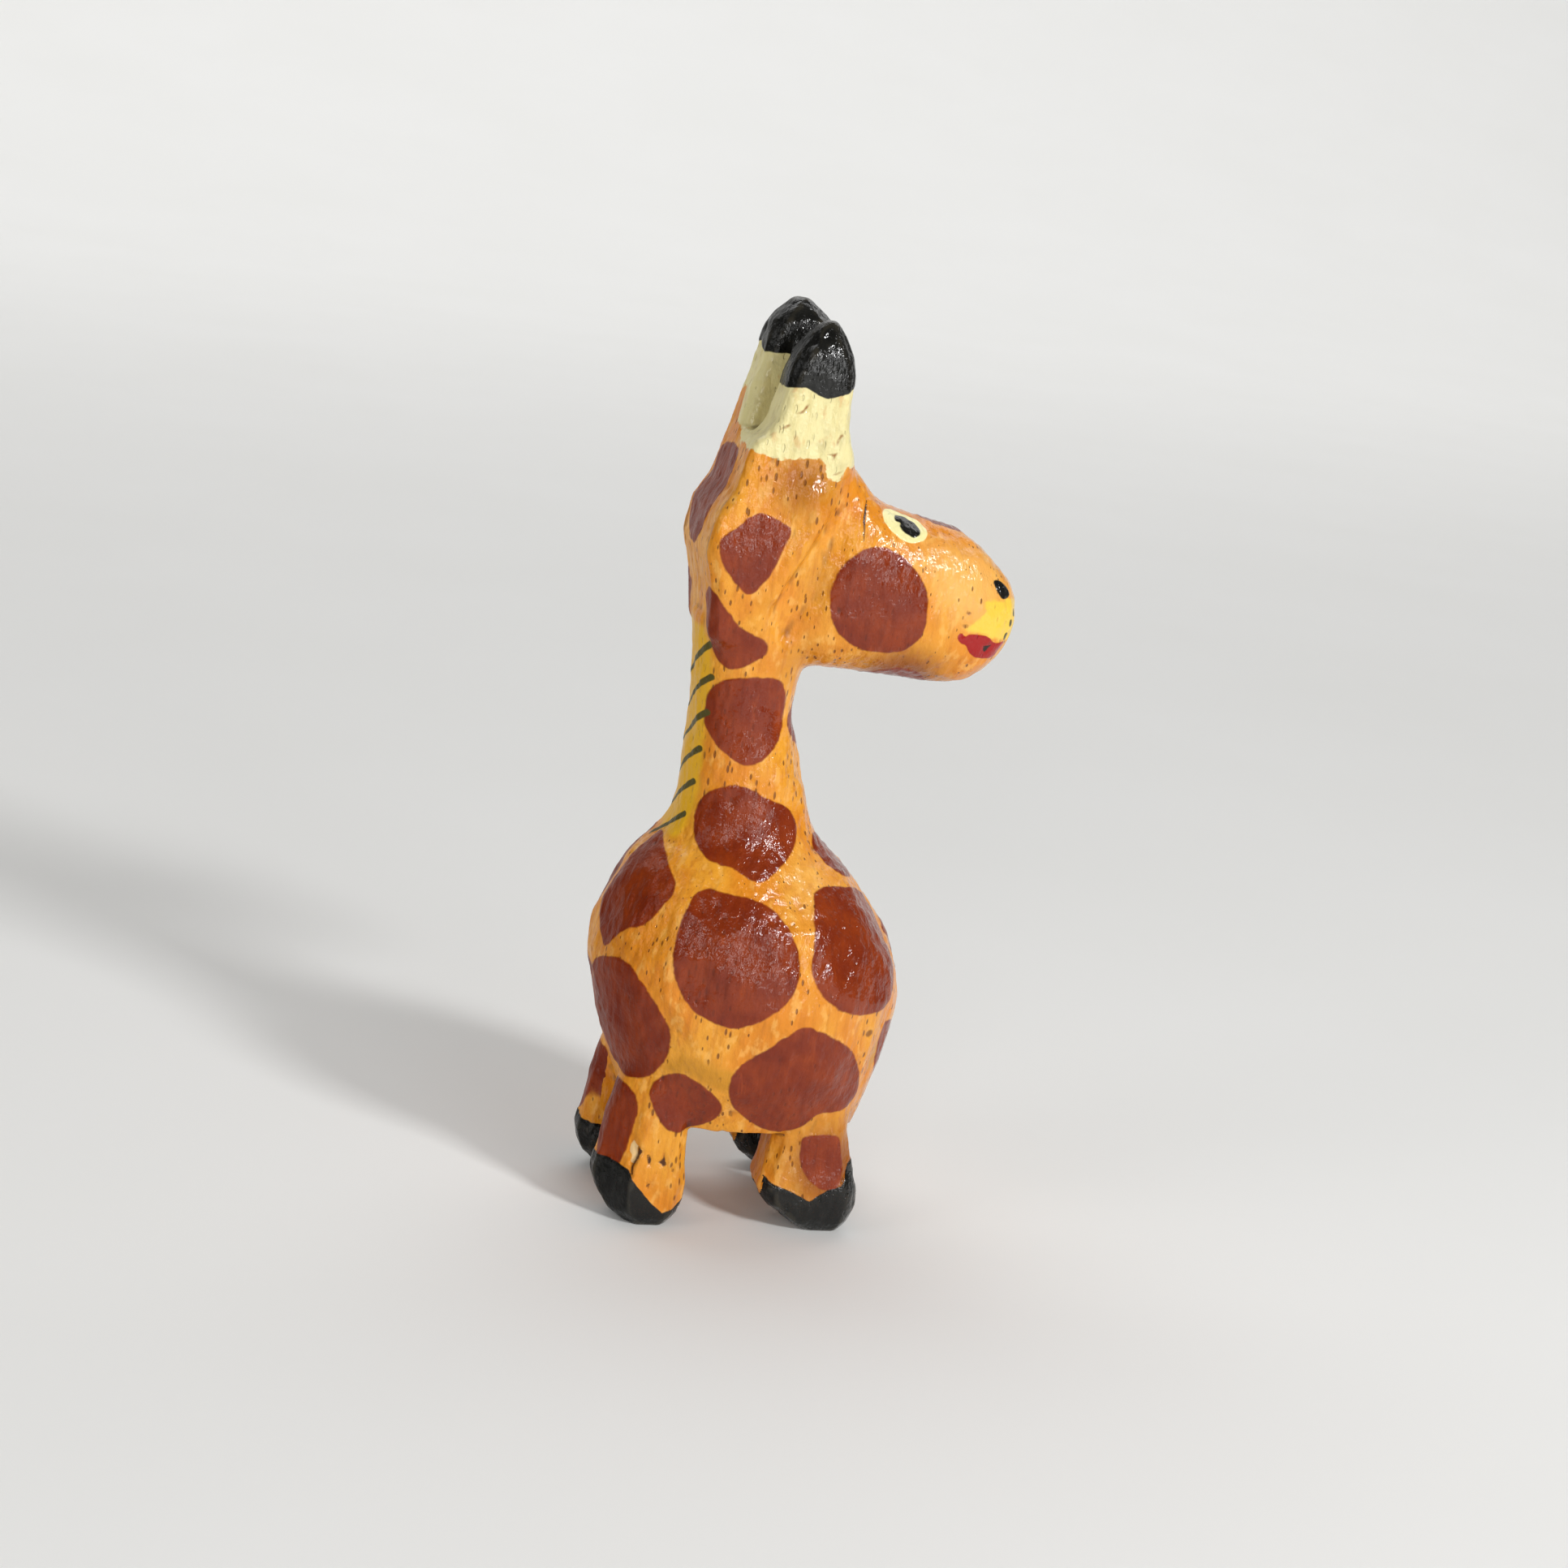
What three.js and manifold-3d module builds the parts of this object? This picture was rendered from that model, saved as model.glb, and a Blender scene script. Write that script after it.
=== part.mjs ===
// A small, chubby giraffe carved from one block of wood and painted.
// The block is shaped whole, then divided at flat planes into its carved members:
// body, neck, head, ears, horns with their black tips, legs and hooves.
// Millimetres. +X is forwards, -Y is the giraffe's right-hand side, +Z is up.

import * as THREE from 'three';
import { mergeVertices } from 'three/addons/utils/BufferGeometryUtils.js';
import Module from 'manifold-3d';

const wasm = await Module();
wasm.setup();

// ---------------------------------------------------------------- driving dimensions

const BELLY = 7.9; // height of the flat underside, where the legs begin
const HOOF_TOP = 3.5; // height of the plane between a leg and its hoof
const SHOULDER = 31.2; // height of the plane between the body and the neck
const JAW_CORNER = new THREE.Vector3(0.6, 0, 42.9); // where the throat meets the jaw
const NECK_TOP_TILT = 18; // degrees that the top of the neck rises towards the back
const HORN_BASE = 60.3; // height at which the two horns part
const HEIGHT = 70; // sole to the tip of the left horn
const RIGHT_HORN_DROP = 1.0; // how far the right horn's tip is below the left one's
const RIGHT_TIP_BASE = 64.0; // height at which the right horn's black tip starts
const LEFT_TIP_BASE = 65.7; // the same on the taller, left horn
const EAR_FACE = 4.75; // distance of the cheek from the middle; the ears stand proud of it
const LEG_SPLIT = -2; // place along X between the front and the rear legs
const REACH = 200; // size of a cutting block, far larger than the giraffe
const MERGE_DISTANCE = 1e-5; // vertices closer than this are one

const RIGHT = -1; // sign of Y on the giraffe's right
const LEFT = 1;

const ROUND_SIDES = 32; // sides of a rounded section
const CUT_SIDES = 8; // sides of a knife-cut section: a rectangle with cut corners

// ---------------------------------------------------------------- carved shapes

// Trunk, upwards: height, centre along X, half length, half width, squareness of the section.
const TRUNK = [
  [BELLY, -0.3, 9.1, 7.4, 2.8],
  [10.2, -0.4, 9.9, 8.4, 2.6],
  [13.5, -0.7, 11.0, 9.7, 2.35],
  [18.4, -1.0, 12.2, 10.5, 2.2],
  [22.0, -1.5, 11.6, 10.1, 2.15],
  [25.0, -2.0, 10.2, 9.0, 2.1],
  [27.5, -2.35, 8.3, 7.4, 2.1],
  [29.5, -2.6, 6.2, 5.9, 2.1],
  [SHOULDER, -2.75, 5.25, 5.1, 2.2],
  [35.0, -3.15, 4.65, 4.6, 2.3],
  [39.5, -3.95, 3.85, 4.2, 2.4],
  [42.5, -3.8, 4.1, 4.3, 2.4],
  [46.5, -3.9, 4.4, 4.7, 2.4],
];

// Face, forwards: place along X, height of the top, height of the jaw, half width, squareness.
const FACE = [
  [-4.0, 54.0, 44.4, 4.2, 2.8],
  [0.0, 57.9, 43.3, 4.6, 3.2],
  [2.4, 58.3, 43.1, 4.7, 3.2],
  [3.2, 57.3, 43.05, 4.7, 3.0],
  [4.4, 56.15, 43.0, 4.7, 2.8],
  [6.4, 55.45, 42.9, 4.6, 2.6],
  [9.0, 54.95, 42.7, 4.3, 2.5],
  [11.2, 54.4, 42.6, 4.0, 2.5],
  [12.8, 53.5, 42.8, 3.7, 2.5],
  [14.3, 52.1, 43.8, 3.2, 2.4],
  [15.6, 50.9, 45.2, 2.5, 2.3],
  [16.3, 49.6, 46.8, 1.4, 2.2],
];

// Back of the head, upwards: height, back, front, half width, cut at the back and front corners.
const SKULL = [
  [44.0, -7.0, -4.0, 3.9, 0.8, 0.8],
  [45.4, -7.8, -3.8, 4.7, 0.8, 0.5],
  [48.9, -8.2, -3.3, 5.5, 0.7, 0.5],
  [51.8, -8.9, -1.9, 5.65, 0.6, 0.5],
  [54.4, -8.5, -0.6, 5.6, 0.5, 0.5],
  [56.3, -7.4, 1.2, 5.4, 0.5, 0.8],
  [58.3, -6.85, 1.9, 5.2, 0.5, 1.1],
  [HORN_BASE, -6.35, 1.1, 5.15, 0.5, 0.9],
];

// Horns, upwards: height, back, front, inner face, outer face, cut at the corners.
const RIGHT_HORN = [
  [HORN_BASE - 1.2, -6.3, 1.1, 0.35, 5.15, 0.5],
  [HORN_BASE, -6.05, 1.05, 0.5, 5.1, 0.5],
  [62.0, -5.6, 0.9, 0.8, 5.05, 0.6],
  [RIGHT_TIP_BASE, -5.0, 0.85, 1.05, 5.0, 0.6],
  [65.4, -4.75, 0.95, 1.0, 5.05, 0.8],
  [66.6, -4.3, 0.75, 1.1, 4.95, 1.0],
  [67.7, -3.5, 0.1, 1.5, 4.6, 0.9],
  [68.6, -2.6, -0.6, 2.1, 4.0, 0.5],
  [HEIGHT - RIGHT_HORN_DROP, -2.0, -1.1, 2.6, 3.5, 0.2],
];
const LEFT_HORN = [
  [HORN_BASE - 1.2, -6.65, 0.9, 0.35, 5.15, 0.5],
  [HORN_BASE, -6.35, 0.7, 0.5, 5.1, 0.5],
  [62.8, -5.8, 0.5, 0.9, 5.0, 0.6],
  [LEFT_TIP_BASE, -5.15, 0.35, 1.1, 4.9, 0.6],
  [67.2, -4.9, 0.3, 1.05, 4.95, 0.8],
  [68.4, -4.4, -0.1, 1.2, 4.8, 0.9],
  [69.3, -3.6, -1.0, 1.7, 4.4, 0.7],
  [HEIGHT, -2.9, -1.9, 2.5, 3.5, 0.2],
];

// Legs with their hooves, upwards: height, back, front, inner face, outer face,
// cut at the outer back corner, cut at the other corners.
const REAR_LEG = [
  [0.0, -9.4, -6.2, 3.4, 7.2, 1.0, 0.5],
  [1.0, -10.6, -5.5, 3.0, 7.5, 1.6, 0.7],
  [2.2, -11.5, -5.1, 2.7, 7.65, 2.2, 0.8],
  [HOOF_TOP, -11.9, -5.0, 2.6, 7.7, 2.6, 0.8],
  [5.2, -11.5, -5.2, 2.6, 7.65, 2.6, 0.8],
  [BELLY, -11.2, -5.3, 2.6, 7.6, 2.5, 0.8],
  [10.8, -10.7, -5.0, 2.8, 7.7, 2.3, 0.8],
  [14.5, -8.6, -4.5, 3.0, 6.6, 1.6, 0.8],
];
const FRONT_LEG = [
  [0.0, 4.5, 7.5, 3.4, 7.2, 0.5, 0.5],
  [0.9, 3.2, 8.1, 3.0, 7.6, 0.6, 0.7],
  [2.2, 1.4, 8.5, 2.7, 7.8, 0.8, 0.9],
  [HOOF_TOP, 0.6, 8.5, 2.6, 7.8, 1.0, 0.9],
  [4.6, 0.9, 8.1, 2.6, 7.6, 1.0, 0.9],
  [6.2, 1.2, 7.7, 2.6, 7.4, 1.0, 0.9],
  [BELLY, 1.4, 7.4, 2.6, 7.3, 1.0, 0.9],
  [12.5, 1.8, 7.0, 3.0, 7.0, 1.0, 1.0],
];

// ---------------------------------------------------------------- solids from sections

// Turns a closed geometry into a solid that can be joined and cut.
function toSolid(geometry) {
  geometry.deleteAttribute('normal');
  geometry.deleteAttribute('uv');
  const merged = mergeVertices(geometry, MERGE_DISTANCE);
  return new wasm.Manifold(new wasm.Mesh({
    numProp: 3,
    vertProperties: new Float32Array(merged.attributes.position.array),
    triVerts: new Uint32Array(merged.index.array),
  }));
}

// Closes a stack of sections into a solid. place(row, turn, reach) gives a point of a section:
// reach is 1 on its edge and 0 at the middle of an end face.
function loft(rows, sides, place) {
  const layers = rows.length - 1;
  const geometry = new THREE.CylinderGeometry(1, 1, layers, sides, layers);
  const position = geometry.getAttribute('position');
  const point = new THREE.Vector3();
  for (let i = 0; i < position.count; i += 1) {
    point.fromBufferAttribute(position, i);
    const row = rows[Math.round(point.y + layers / 2)];
    const reach = Math.hypot(point.x, point.z) > 0.5 ? 1 : 0;
    const turn = Math.atan2(point.x, point.z);
    position.setXYZ(i, ...place(row, turn, reach));
  }
  return toSolid(geometry);
}

// Adds rows between the stations on a smooth curve, `steps` to each gap.
function smoothRows(stations, steps) {
  const levels = stations.map((station) => station[0]);
  const values = stations.flatMap((station) => station.slice(1));
  const curve = new THREE.CubicInterpolant(levels, values, stations[0].length - 1);
  const rows = [];
  for (let i = 0; i <= (levels.length - 1) * steps; i += 1) {
    const low = Math.min(Math.floor(i / steps), levels.length - 2);
    const level = THREE.MathUtils.lerp(levels[low], levels[low + 1], i / steps - low);
    rows.push([level, ...curve.evaluate(level)]);
  }
  return rows;
}

// Distance from the centre to the edge of a unit superellipse.
function superellipse(turn, squareness) {
  const across = Math.abs(Math.cos(turn)) ** squareness;
  const along = Math.abs(Math.sin(turn)) ** squareness;
  return (across + along) ** (-1 / squareness);
}

function makeTrunk() {
  return loft(smoothRows(TRUNK, 2), ROUND_SIDES, (row, turn, reach) => {
    const [height, centre, halfLength, halfWidth, squareness] = row;
    const edge = reach * superellipse(turn, squareness);
    return [centre + halfLength * edge * Math.cos(turn), halfWidth * edge * Math.sin(turn), height];
  });
}

function makeFace() {
  return loft(smoothRows(FACE, 2), ROUND_SIDES, (row, turn, reach) => {
    const [along, top, jaw, halfWidth, squareness] = row;
    const edge = reach * superellipse(turn, squareness);
    const middle = (top + jaw) / 2;
    return [along, halfWidth * edge * Math.cos(turn), middle + (middle - jaw) * edge * Math.sin(turn)];
  });
}

// The corners of a rectangle from (x0, y0) to (x1, y1) with each corner cut off.
// cuts are for (x0, y0), (x1, y0), (x1, y1) and (x0, y1).
function cutRectangle(x0, x1, y0, y1, cuts) {
  return [
    [x0, y0 + cuts[0]], [x0 + cuts[0], y0],
    [x1 - cuts[1], y0], [x1, y0 + cuts[1]],
    [x1, y1 - cuts[2]], [x1 - cuts[2], y1],
    [x0 + cuts[3], y1], [x0, y1 - cuts[3]],
  ];
}

// A knife-cut block through a stack of cut rectangles; section(row) gives each one's corners.
function knifeBlock(rows, section) {
  return loft(rows, CUT_SIDES, (row, turn, reach) => {
    const corners = section(row);
    const step = Math.round((turn / (2 * Math.PI)) * CUT_SIDES + CUT_SIDES) % CUT_SIDES;
    const middle = [(corners[0][0] + corners[3][0]) / 2, (corners[1][1] + corners[5][1]) / 2];
    const [x, y] = reach ? corners[step] : middle;
    return [x, y, row[0]];
  });
}

function makeSkull() {
  return knifeBlock(SKULL, ([, back, front, halfWidth, backCut, frontCut]) => (
    cutRectangle(back, front, -halfWidth, halfWidth, [backCut, frontCut, frontCut, backCut])
  ));
}

// Orders an inner and an outer distance on one side of the giraffe as a low and a high Y.
function sideRange(side, inner, outer) {
  return side === RIGHT ? [-outer, -inner] : [inner, outer];
}

function makeHorn(side) {
  const rows = side === RIGHT ? RIGHT_HORN : LEFT_HORN;
  return knifeBlock(rows, ([, back, front, inner, outer, cut]) => (
    cutRectangle(back, front, ...sideRange(side, inner, outer), [cut, cut, cut, cut])
  ));
}

function makeLeg(side, rows) {
  return knifeBlock(rows, ([, back, front, inner, outer, backCut, cut]) => {
    const cuts = side === RIGHT ? [backCut, cut, cut, cut] : [cut, cut, cut, backCut];
    return cutRectangle(back, front, ...sideRange(side, inner, outer), cuts);
  });
}

// ---------------------------------------------------------------- dividing the block

// A very large block whose top face passes through `point`; tilt turns that face about Y.
function blockBelow(point, tilt = 0) {
  const geometry = new THREE.BoxGeometry(REACH, REACH, REACH);
  geometry.translate(0, 0, -REACH / 2);
  geometry.rotateY(THREE.MathUtils.degToRad(tilt));
  geometry.translate(point.x, point.y, point.z);
  return toSolid(geometry);
}

const below = (height) => blockBelow(new THREE.Vector3(0, 0, height));

// A very large block that fills one side of the giraffe, from `distance` outwards.
function blockBeside(side, distance) {
  const geometry = new THREE.BoxGeometry(REACH, REACH, REACH);
  geometry.translate(0, side * (REACH / 2 + distance), 0);
  return toSolid(geometry);
}

const rightHalf = blockBeside(RIGHT, 0);
const leftHalf = blockBeside(LEFT, 0);
const frontHalf = toSolid(new THREE.BoxGeometry(REACH, REACH, REACH).translate(REACH / 2 + LEG_SPLIT, 0, 0));

// The ear's outline on the side of the head, seen from the right, cut right through it.
function makeEarCutter() {
  const outline = new THREE.Shape();
  outline.moveTo(-12, 55.2);
  outline.lineTo(-2.6, 55.6);
  outline.quadraticCurveTo(0.8, 55.4, 0.4, 53.2);
  outline.lineTo(-1.9, 47.6);
  outline.lineTo(-12, 47.6);
  outline.closePath();
  const settings = { depth: REACH, bevelEnabled: false, curveSegments: 4 };
  const geometry = new THREE.ExtrudeGeometry(outline, settings);
  geometry.rotateX(Math.PI / 2);
  geometry.translate(0, REACH / 2, 0);
  return toSolid(geometry);
}

// ---------------------------------------------------------------- the named members

const PAINT = {
  orange: { color: '#dd9a45', roughness: 0.32, metalness: 0 },
  cream: { color: '#e9d9a0', roughness: 0.34, metalness: 0 },
  black: { color: '#161713', roughness: 0.22, metalness: 0 },
};

const giraffe = new THREE.Group();

function addMember(name, shape, paint) {
  const mesh = shape.getMesh();
  const geometry = new THREE.BufferGeometry();
  geometry.setAttribute('position', new THREE.BufferAttribute(new Float32Array(mesh.vertProperties), 3));
  geometry.setIndex(new THREE.BufferAttribute(new Uint32Array(mesh.triVerts), 1));
  const member = new THREE.Mesh(geometry, new THREE.MeshStandardMaterial(paint));
  member.name = name;
  giraffe.add(member);
}

const sides = [
  { word: 'right', sign: RIGHT, half: rightHalf, tipBase: RIGHT_TIP_BASE },
  { word: 'left', sign: LEFT, half: leftHalf, tipBase: LEFT_TIP_BASE },
];

let carving = makeTrunk().add(makeFace()).add(makeSkull());
for (const side of sides) {
  carving = carving.add(makeHorn(side.sign));
  carving = carving.add(makeLeg(side.sign, REAR_LEG));
  carving = carving.add(makeLeg(side.sign, FRONT_LEG));
}

const feet = carving.intersect(below(BELLY));
const horns = carving.subtract(below(HORN_BASE));
const middle = carving.subtract(below(BELLY)).intersect(below(HORN_BASE));
const neckTop = blockBelow(JAW_CORNER, NECK_TOP_TILT);
const headBlock = middle.subtract(neckTop);
const earCutter = makeEarCutter();

addMember('body', middle.intersect(below(SHOULDER)), PAINT.orange);
addMember('neck', middle.intersect(neckTop).subtract(below(SHOULDER)), PAINT.orange);

let head = headBlock;
for (const side of sides) {
  const ear = headBlock.intersect(earCutter).intersect(blockBeside(side.sign, EAR_FACE));
  head = head.subtract(earCutter.intersect(blockBeside(side.sign, EAR_FACE)));
  addMember(`ear_${side.word}`, ear, PAINT.orange);
}
addMember('head', head, PAINT.orange);

for (const side of sides) {
  const horn = horns.intersect(side.half);
  addMember(`horn_${side.word}`, horn.intersect(below(side.tipBase)), PAINT.cream);
  addMember(`horn_tip_${side.word}`, horn.subtract(below(side.tipBase)), PAINT.black);
}

for (const side of sides) {
  const pair = feet.intersect(side.half);
  const legs = { front: pair.intersect(frontHalf), rear: pair.subtract(frontHalf) };
  for (const [place, leg] of Object.entries(legs)) {
    addMember(`leg_${place}_${side.word}`, leg.subtract(below(HOOF_TOP)), PAINT.orange);
    addMember(`hoof_${place}_${side.word}`, leg.intersect(below(HOOF_TOP)), PAINT.black);
  }
}

// The origin is under the middle of the giraffe, on the plane that it stands on.
const bounds = new THREE.Box3().setFromObject(giraffe);
const centre = bounds.getCenter(new THREE.Vector3());
giraffe.position.set(-centre.x, -centre.y, -bounds.min.z);

export default giraffe;
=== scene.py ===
"""The looks of a small giraffe carved from one block of wood, painted and varnished.

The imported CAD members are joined, given one fine skin, carved, painted and divided again by planes,
so each member has a closed piece of its own and no seam shows. Lengths below are in millimetres.
"""

import math

import bmesh
import bpy
import numpy as np
from mathutils import Matrix, Vector


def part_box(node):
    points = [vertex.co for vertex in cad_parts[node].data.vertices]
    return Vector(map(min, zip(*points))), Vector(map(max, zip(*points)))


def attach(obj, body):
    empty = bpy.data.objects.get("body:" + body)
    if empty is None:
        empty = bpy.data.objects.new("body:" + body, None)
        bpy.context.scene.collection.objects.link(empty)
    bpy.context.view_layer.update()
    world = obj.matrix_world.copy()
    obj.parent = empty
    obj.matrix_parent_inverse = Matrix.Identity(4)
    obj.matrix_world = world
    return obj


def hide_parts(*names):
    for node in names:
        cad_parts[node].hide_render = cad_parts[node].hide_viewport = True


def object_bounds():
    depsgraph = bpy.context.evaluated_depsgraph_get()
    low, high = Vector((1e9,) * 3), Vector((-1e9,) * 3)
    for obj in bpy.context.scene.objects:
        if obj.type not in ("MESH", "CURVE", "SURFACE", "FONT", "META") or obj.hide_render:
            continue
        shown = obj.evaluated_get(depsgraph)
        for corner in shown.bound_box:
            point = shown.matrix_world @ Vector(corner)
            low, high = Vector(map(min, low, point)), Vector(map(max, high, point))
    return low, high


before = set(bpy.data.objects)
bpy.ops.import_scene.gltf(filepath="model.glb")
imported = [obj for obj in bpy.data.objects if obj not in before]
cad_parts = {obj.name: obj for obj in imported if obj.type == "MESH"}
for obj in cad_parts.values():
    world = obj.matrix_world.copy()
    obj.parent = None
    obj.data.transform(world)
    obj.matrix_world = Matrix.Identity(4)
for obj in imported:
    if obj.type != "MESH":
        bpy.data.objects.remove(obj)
cad_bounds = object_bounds()

MM = 0.001  # metres in a millimetre
SKIN = 0.18  # distance between the skin's vertices
HOLLOW = 0.15  # how far the surface may rise out of a facet's plane before it counts as hollow
SIDES = {"right": -1, "left": 1}  # sign of Y on each side
rng = np.random.default_rng(7)


def node_box(name):
    """The lowest and highest corners of a CAD node, in millimetres."""
    low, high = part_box(name)
    return np.array(low) / MM, np.array(high) / MM


# Places taken from the CAD model.
BODY_LOW, BODY_HIGH = node_box("body")
NECK_LOW, NECK_HIGH = node_box("neck")
HEAD_LOW, HEAD_HIGH = node_box("head")
EAR_LOW, EAR_HIGH = node_box("ear_right")
BODY_MIDDLE = (BODY_LOW + BODY_HIGH) / 2
BELLY = BODY_LOW[2]
SHOULDER = BODY_HIGH[2]
HORN_BASE = HEAD_HIGH[2]
HOOF_TOP = node_box("hoof_front_right")[1][2]
TIP_BASE = {word: node_box("horn_tip_" + word)[0][2] for word in SIDES}
HORN_MIDDLE = node_box("horn_right")[1][0] - 2.2  # the X that the right horn is slimmed towards
HORN_SLIMMING = 0.17  # by this share of the distance from there
ROOM = 0.25  # how far outside an uneven surface a plane passes, so that it cuts no slivers off
EAR_FACE = -EAR_HIGH[1]  # distance from the middle to the back of the ear pieces
NECK_TOP_TILT = math.radians(18)  # lean of the plane between neck and head
JAW_CORNER = Vector((NECK_HIGH[0] - 0.1, 0, 42.9))  # where that plane meets the throat


# ---- the skin


def joined_members():
    """One mesh object, in millimetres, that holds a copy of every CAD member."""
    joined = bmesh.new()
    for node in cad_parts.values():
        joined.from_mesh(node.data)
    bmesh.ops.scale(joined, vec=Vector((1, 1, 1)) / MM, verts=joined.verts)
    mesh = bpy.data.meshes.new("carving")
    joined.to_mesh(mesh)
    joined.free()
    carving = bpy.data.objects.new("carving", mesh)
    bpy.context.scene.collection.objects.link(carving)
    return carving


def fine_skin(carving):
    """Vertices and faces of an even skin over the joined members."""
    remesh = carving.modifiers.new("skin", "REMESH")
    remesh.mode = "VOXEL"
    remesh.voxel_size = SKIN
    graph = bpy.context.evaluated_depsgraph_get()
    mesh = bpy.data.meshes.new_from_object(carving.evaluated_get(graph), depsgraph=graph)
    bpy.data.objects.remove(carving)
    return mesh


def read(items, name, width=1, kind=np.float32):
    """One property of every vertex, edge, corner or face."""
    flat = np.empty(len(items) * width, kind)
    items.foreach_get(name, flat)
    return flat.reshape(-1, width) if width > 1 else flat


def read_normals(mesh):
    return read(mesh.vertices, "normal", 3).astype(float)


def write_points(mesh, points):
    mesh.vertices.foreach_set("co", points.astype(np.float32).ravel())
    mesh.update()


def neighbour_mean(points, edges):
    """The mean of each vertex's neighbours."""
    ends = np.concatenate([edges[:, 0], edges[:, 1]])
    others = np.concatenate([edges[:, 1], edges[:, 0]])
    count = np.bincount(ends, minlength=len(points))
    sums = [np.bincount(ends, points[others, axis], len(points)) for axis in range(3)]
    return np.stack(sums, 1) / count[:, None]


def smooth(points, edges, strength, width):
    """Evens the skin out over about `width` millimetres, as far as strength allows."""
    rounds = int(round(2 * (width / SKIN) ** 2))
    for _ in range(rounds):
        points = points + 0.5 * strength[:, None] * (neighbour_mean(points, edges) - points)
    return points


def rise(values, low, high):
    """0 below low, 1 above high, and a smooth step between."""
    t = np.clip((values - low) / (high - low), 0, 1)
    return t * t * (3 - 2 * t)


def ripple(points, wavelength, count=18):
    """Smooth random waviness of about -1 to 1."""
    total = np.zeros(len(points))
    for _ in range(count):
        direction = rng.normal(size=3)
        direction /= np.linalg.norm(direction)
        wave = wavelength * rng.uniform(0.7, 1.5)
        total += np.sin(points @ direction * (2 * math.pi / wave) + rng.uniform(0, 2 * math.pi))
    return total / math.sqrt(count)


def facing_axes(azimuth, elevation):
    """Outward, rightward and upward directions of a flat view of the surface."""
    a, e = math.radians(azimuth), math.radians(elevation)
    out = np.array([math.cos(a) * math.cos(e), math.sin(a) * math.cos(e), math.sin(e)])
    across = np.array([-math.sin(a), math.cos(a), 0])
    return out, across, np.cross(out, across)


def flatten(points, place, out, depth, reach):
    """Planes a flat facet across a place on the surface, unless the surface there is hollow."""
    offset = points - place
    near = np.flatnonzero((np.abs(offset) < reach).all(1))
    distance = np.linalg.norm(offset[near], axis=1)
    over = offset[near] @ out + depth
    if over.max() < depth + HOLLOW:
        share = 1 - rise(distance, 0.6 * reach, reach)
        points[near] -= np.outer(np.maximum(over, 0) * share, out)


def whittle(points, normals, where, spacing, depth, lean=0.05):
    """Covers part of the surface with small flat facets, left by strokes of the knife."""
    before = points.copy()
    order = rng.permutation(np.flatnonzero(where))
    cells = np.floor(before[order] / (spacing, spacing, 1.5 * spacing))
    first = np.sort(np.unique(cells, axis=0, return_index=True)[1])
    for at in order[first]:
        out = normals[at] + rng.normal(scale=lean, size=3)
        out /= np.linalg.norm(out)
        flatten(points, before[at], out, depth * rng.uniform(0.5, 1.4), 1.2 * spacing)


def beside_path(points, path, width):
    """1 on a path of straight lines, fading to 0 further off than `width`."""
    closeness = np.zeros(len(points))
    for start, end in zip(np.array(path[:-1]), np.array(path[1:])):
        along = np.clip((points - start) @ (end - start) / ((end - start) @ (end - start)), 0, 1)
        gap = np.linalg.norm(points - start - along[:, None] * (end - start), axis=1)
        closeness = np.maximum(closeness, np.exp(-(gap / width) ** 2))
    return closeness


def gouge(points, normals, path, width, depth):
    """Hollows a channel with soft sides along a path, or raises a ridge where the depth is negative."""
    points -= normals * (depth * beside_path(points, path, width))[:, None]


def dent(points, normals, place, width, depth):
    gouge(points, normals, [place, np.array(place) + (0, 0, width)], width, depth)


def on_side(path, side):
    """A path on the right side of the head, or its mirror image on the left."""
    return [(x, -side * y, z) for x, y, z in path]


EAR_VALLEY = [(-0.4, -4.7, 57.4), (-0.4, -4.7, 54.4), (-2.1, -4.7, 48.8), (-3.3, -4.7, 46.2)]
EAR_RIDGE = [(-3.1, -5.6, 57.0), (-2.4, -5.6, 54.4), (-4.9, -5.6, 49.0)]
CHEEK_FACETS = [  # place on the right side of the head, direction that the facet faces, depth, reach
    ((3.0, -4.4, 45.9), (0.05, -0.86, -0.50), 0.0, 4.5),
    ((7.5, -4.1, 45.6), (0.12, -0.84, -0.52), 0.0, 4.0),
    ((5.0, -3.6, 44.2), (0.05, -0.62, -0.78), 0.0, 4.5),
    ((10.5, -3.2, 44.2), (0.30, -0.60, -0.74), 0.0, 3.5),
    ((9.6, -4.3, 50.2), (0.16, -0.98, 0.10), 0.05, 4.0),
    ((12.4, -3.2, 47.6), (0.62, -0.78, -0.05), 0.05, 2.6),
    ((7.6, -3.2, 54.0), (0.10, -0.66, 0.74), 0.10, 3.0),
]


def shape_head(points, normals):
    """Cuts the cheek, the jaw and the hollow in front of each ear."""
    for side in SIDES.values():
        mirror = np.array([1, -side, 1])
        gouge(points, normals, on_side(EAR_VALLEY, side), 1.15, 0.50)
        gouge(points, normals, on_side(EAR_RIDGE, side), 0.9, -0.36)
        for place, out, depth, reach in CHEEK_FACETS:
            out = np.array(out) * mirror
            flatten(points, np.array(place) * mirror, out / np.linalg.norm(out), depth, reach)


def slim_horn(points):
    """Draws in the front and the back of the right horn, which is narrower than the left one."""
    share = HORN_SLIMMING * rise(points[:, 2], HORN_BASE - 1, HORN_BASE + 1.5) * rise(-points[:, 1], 0, 1)
    points[:, 0] += share * (HORN_MIDDLE - points[:, 0])


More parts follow.
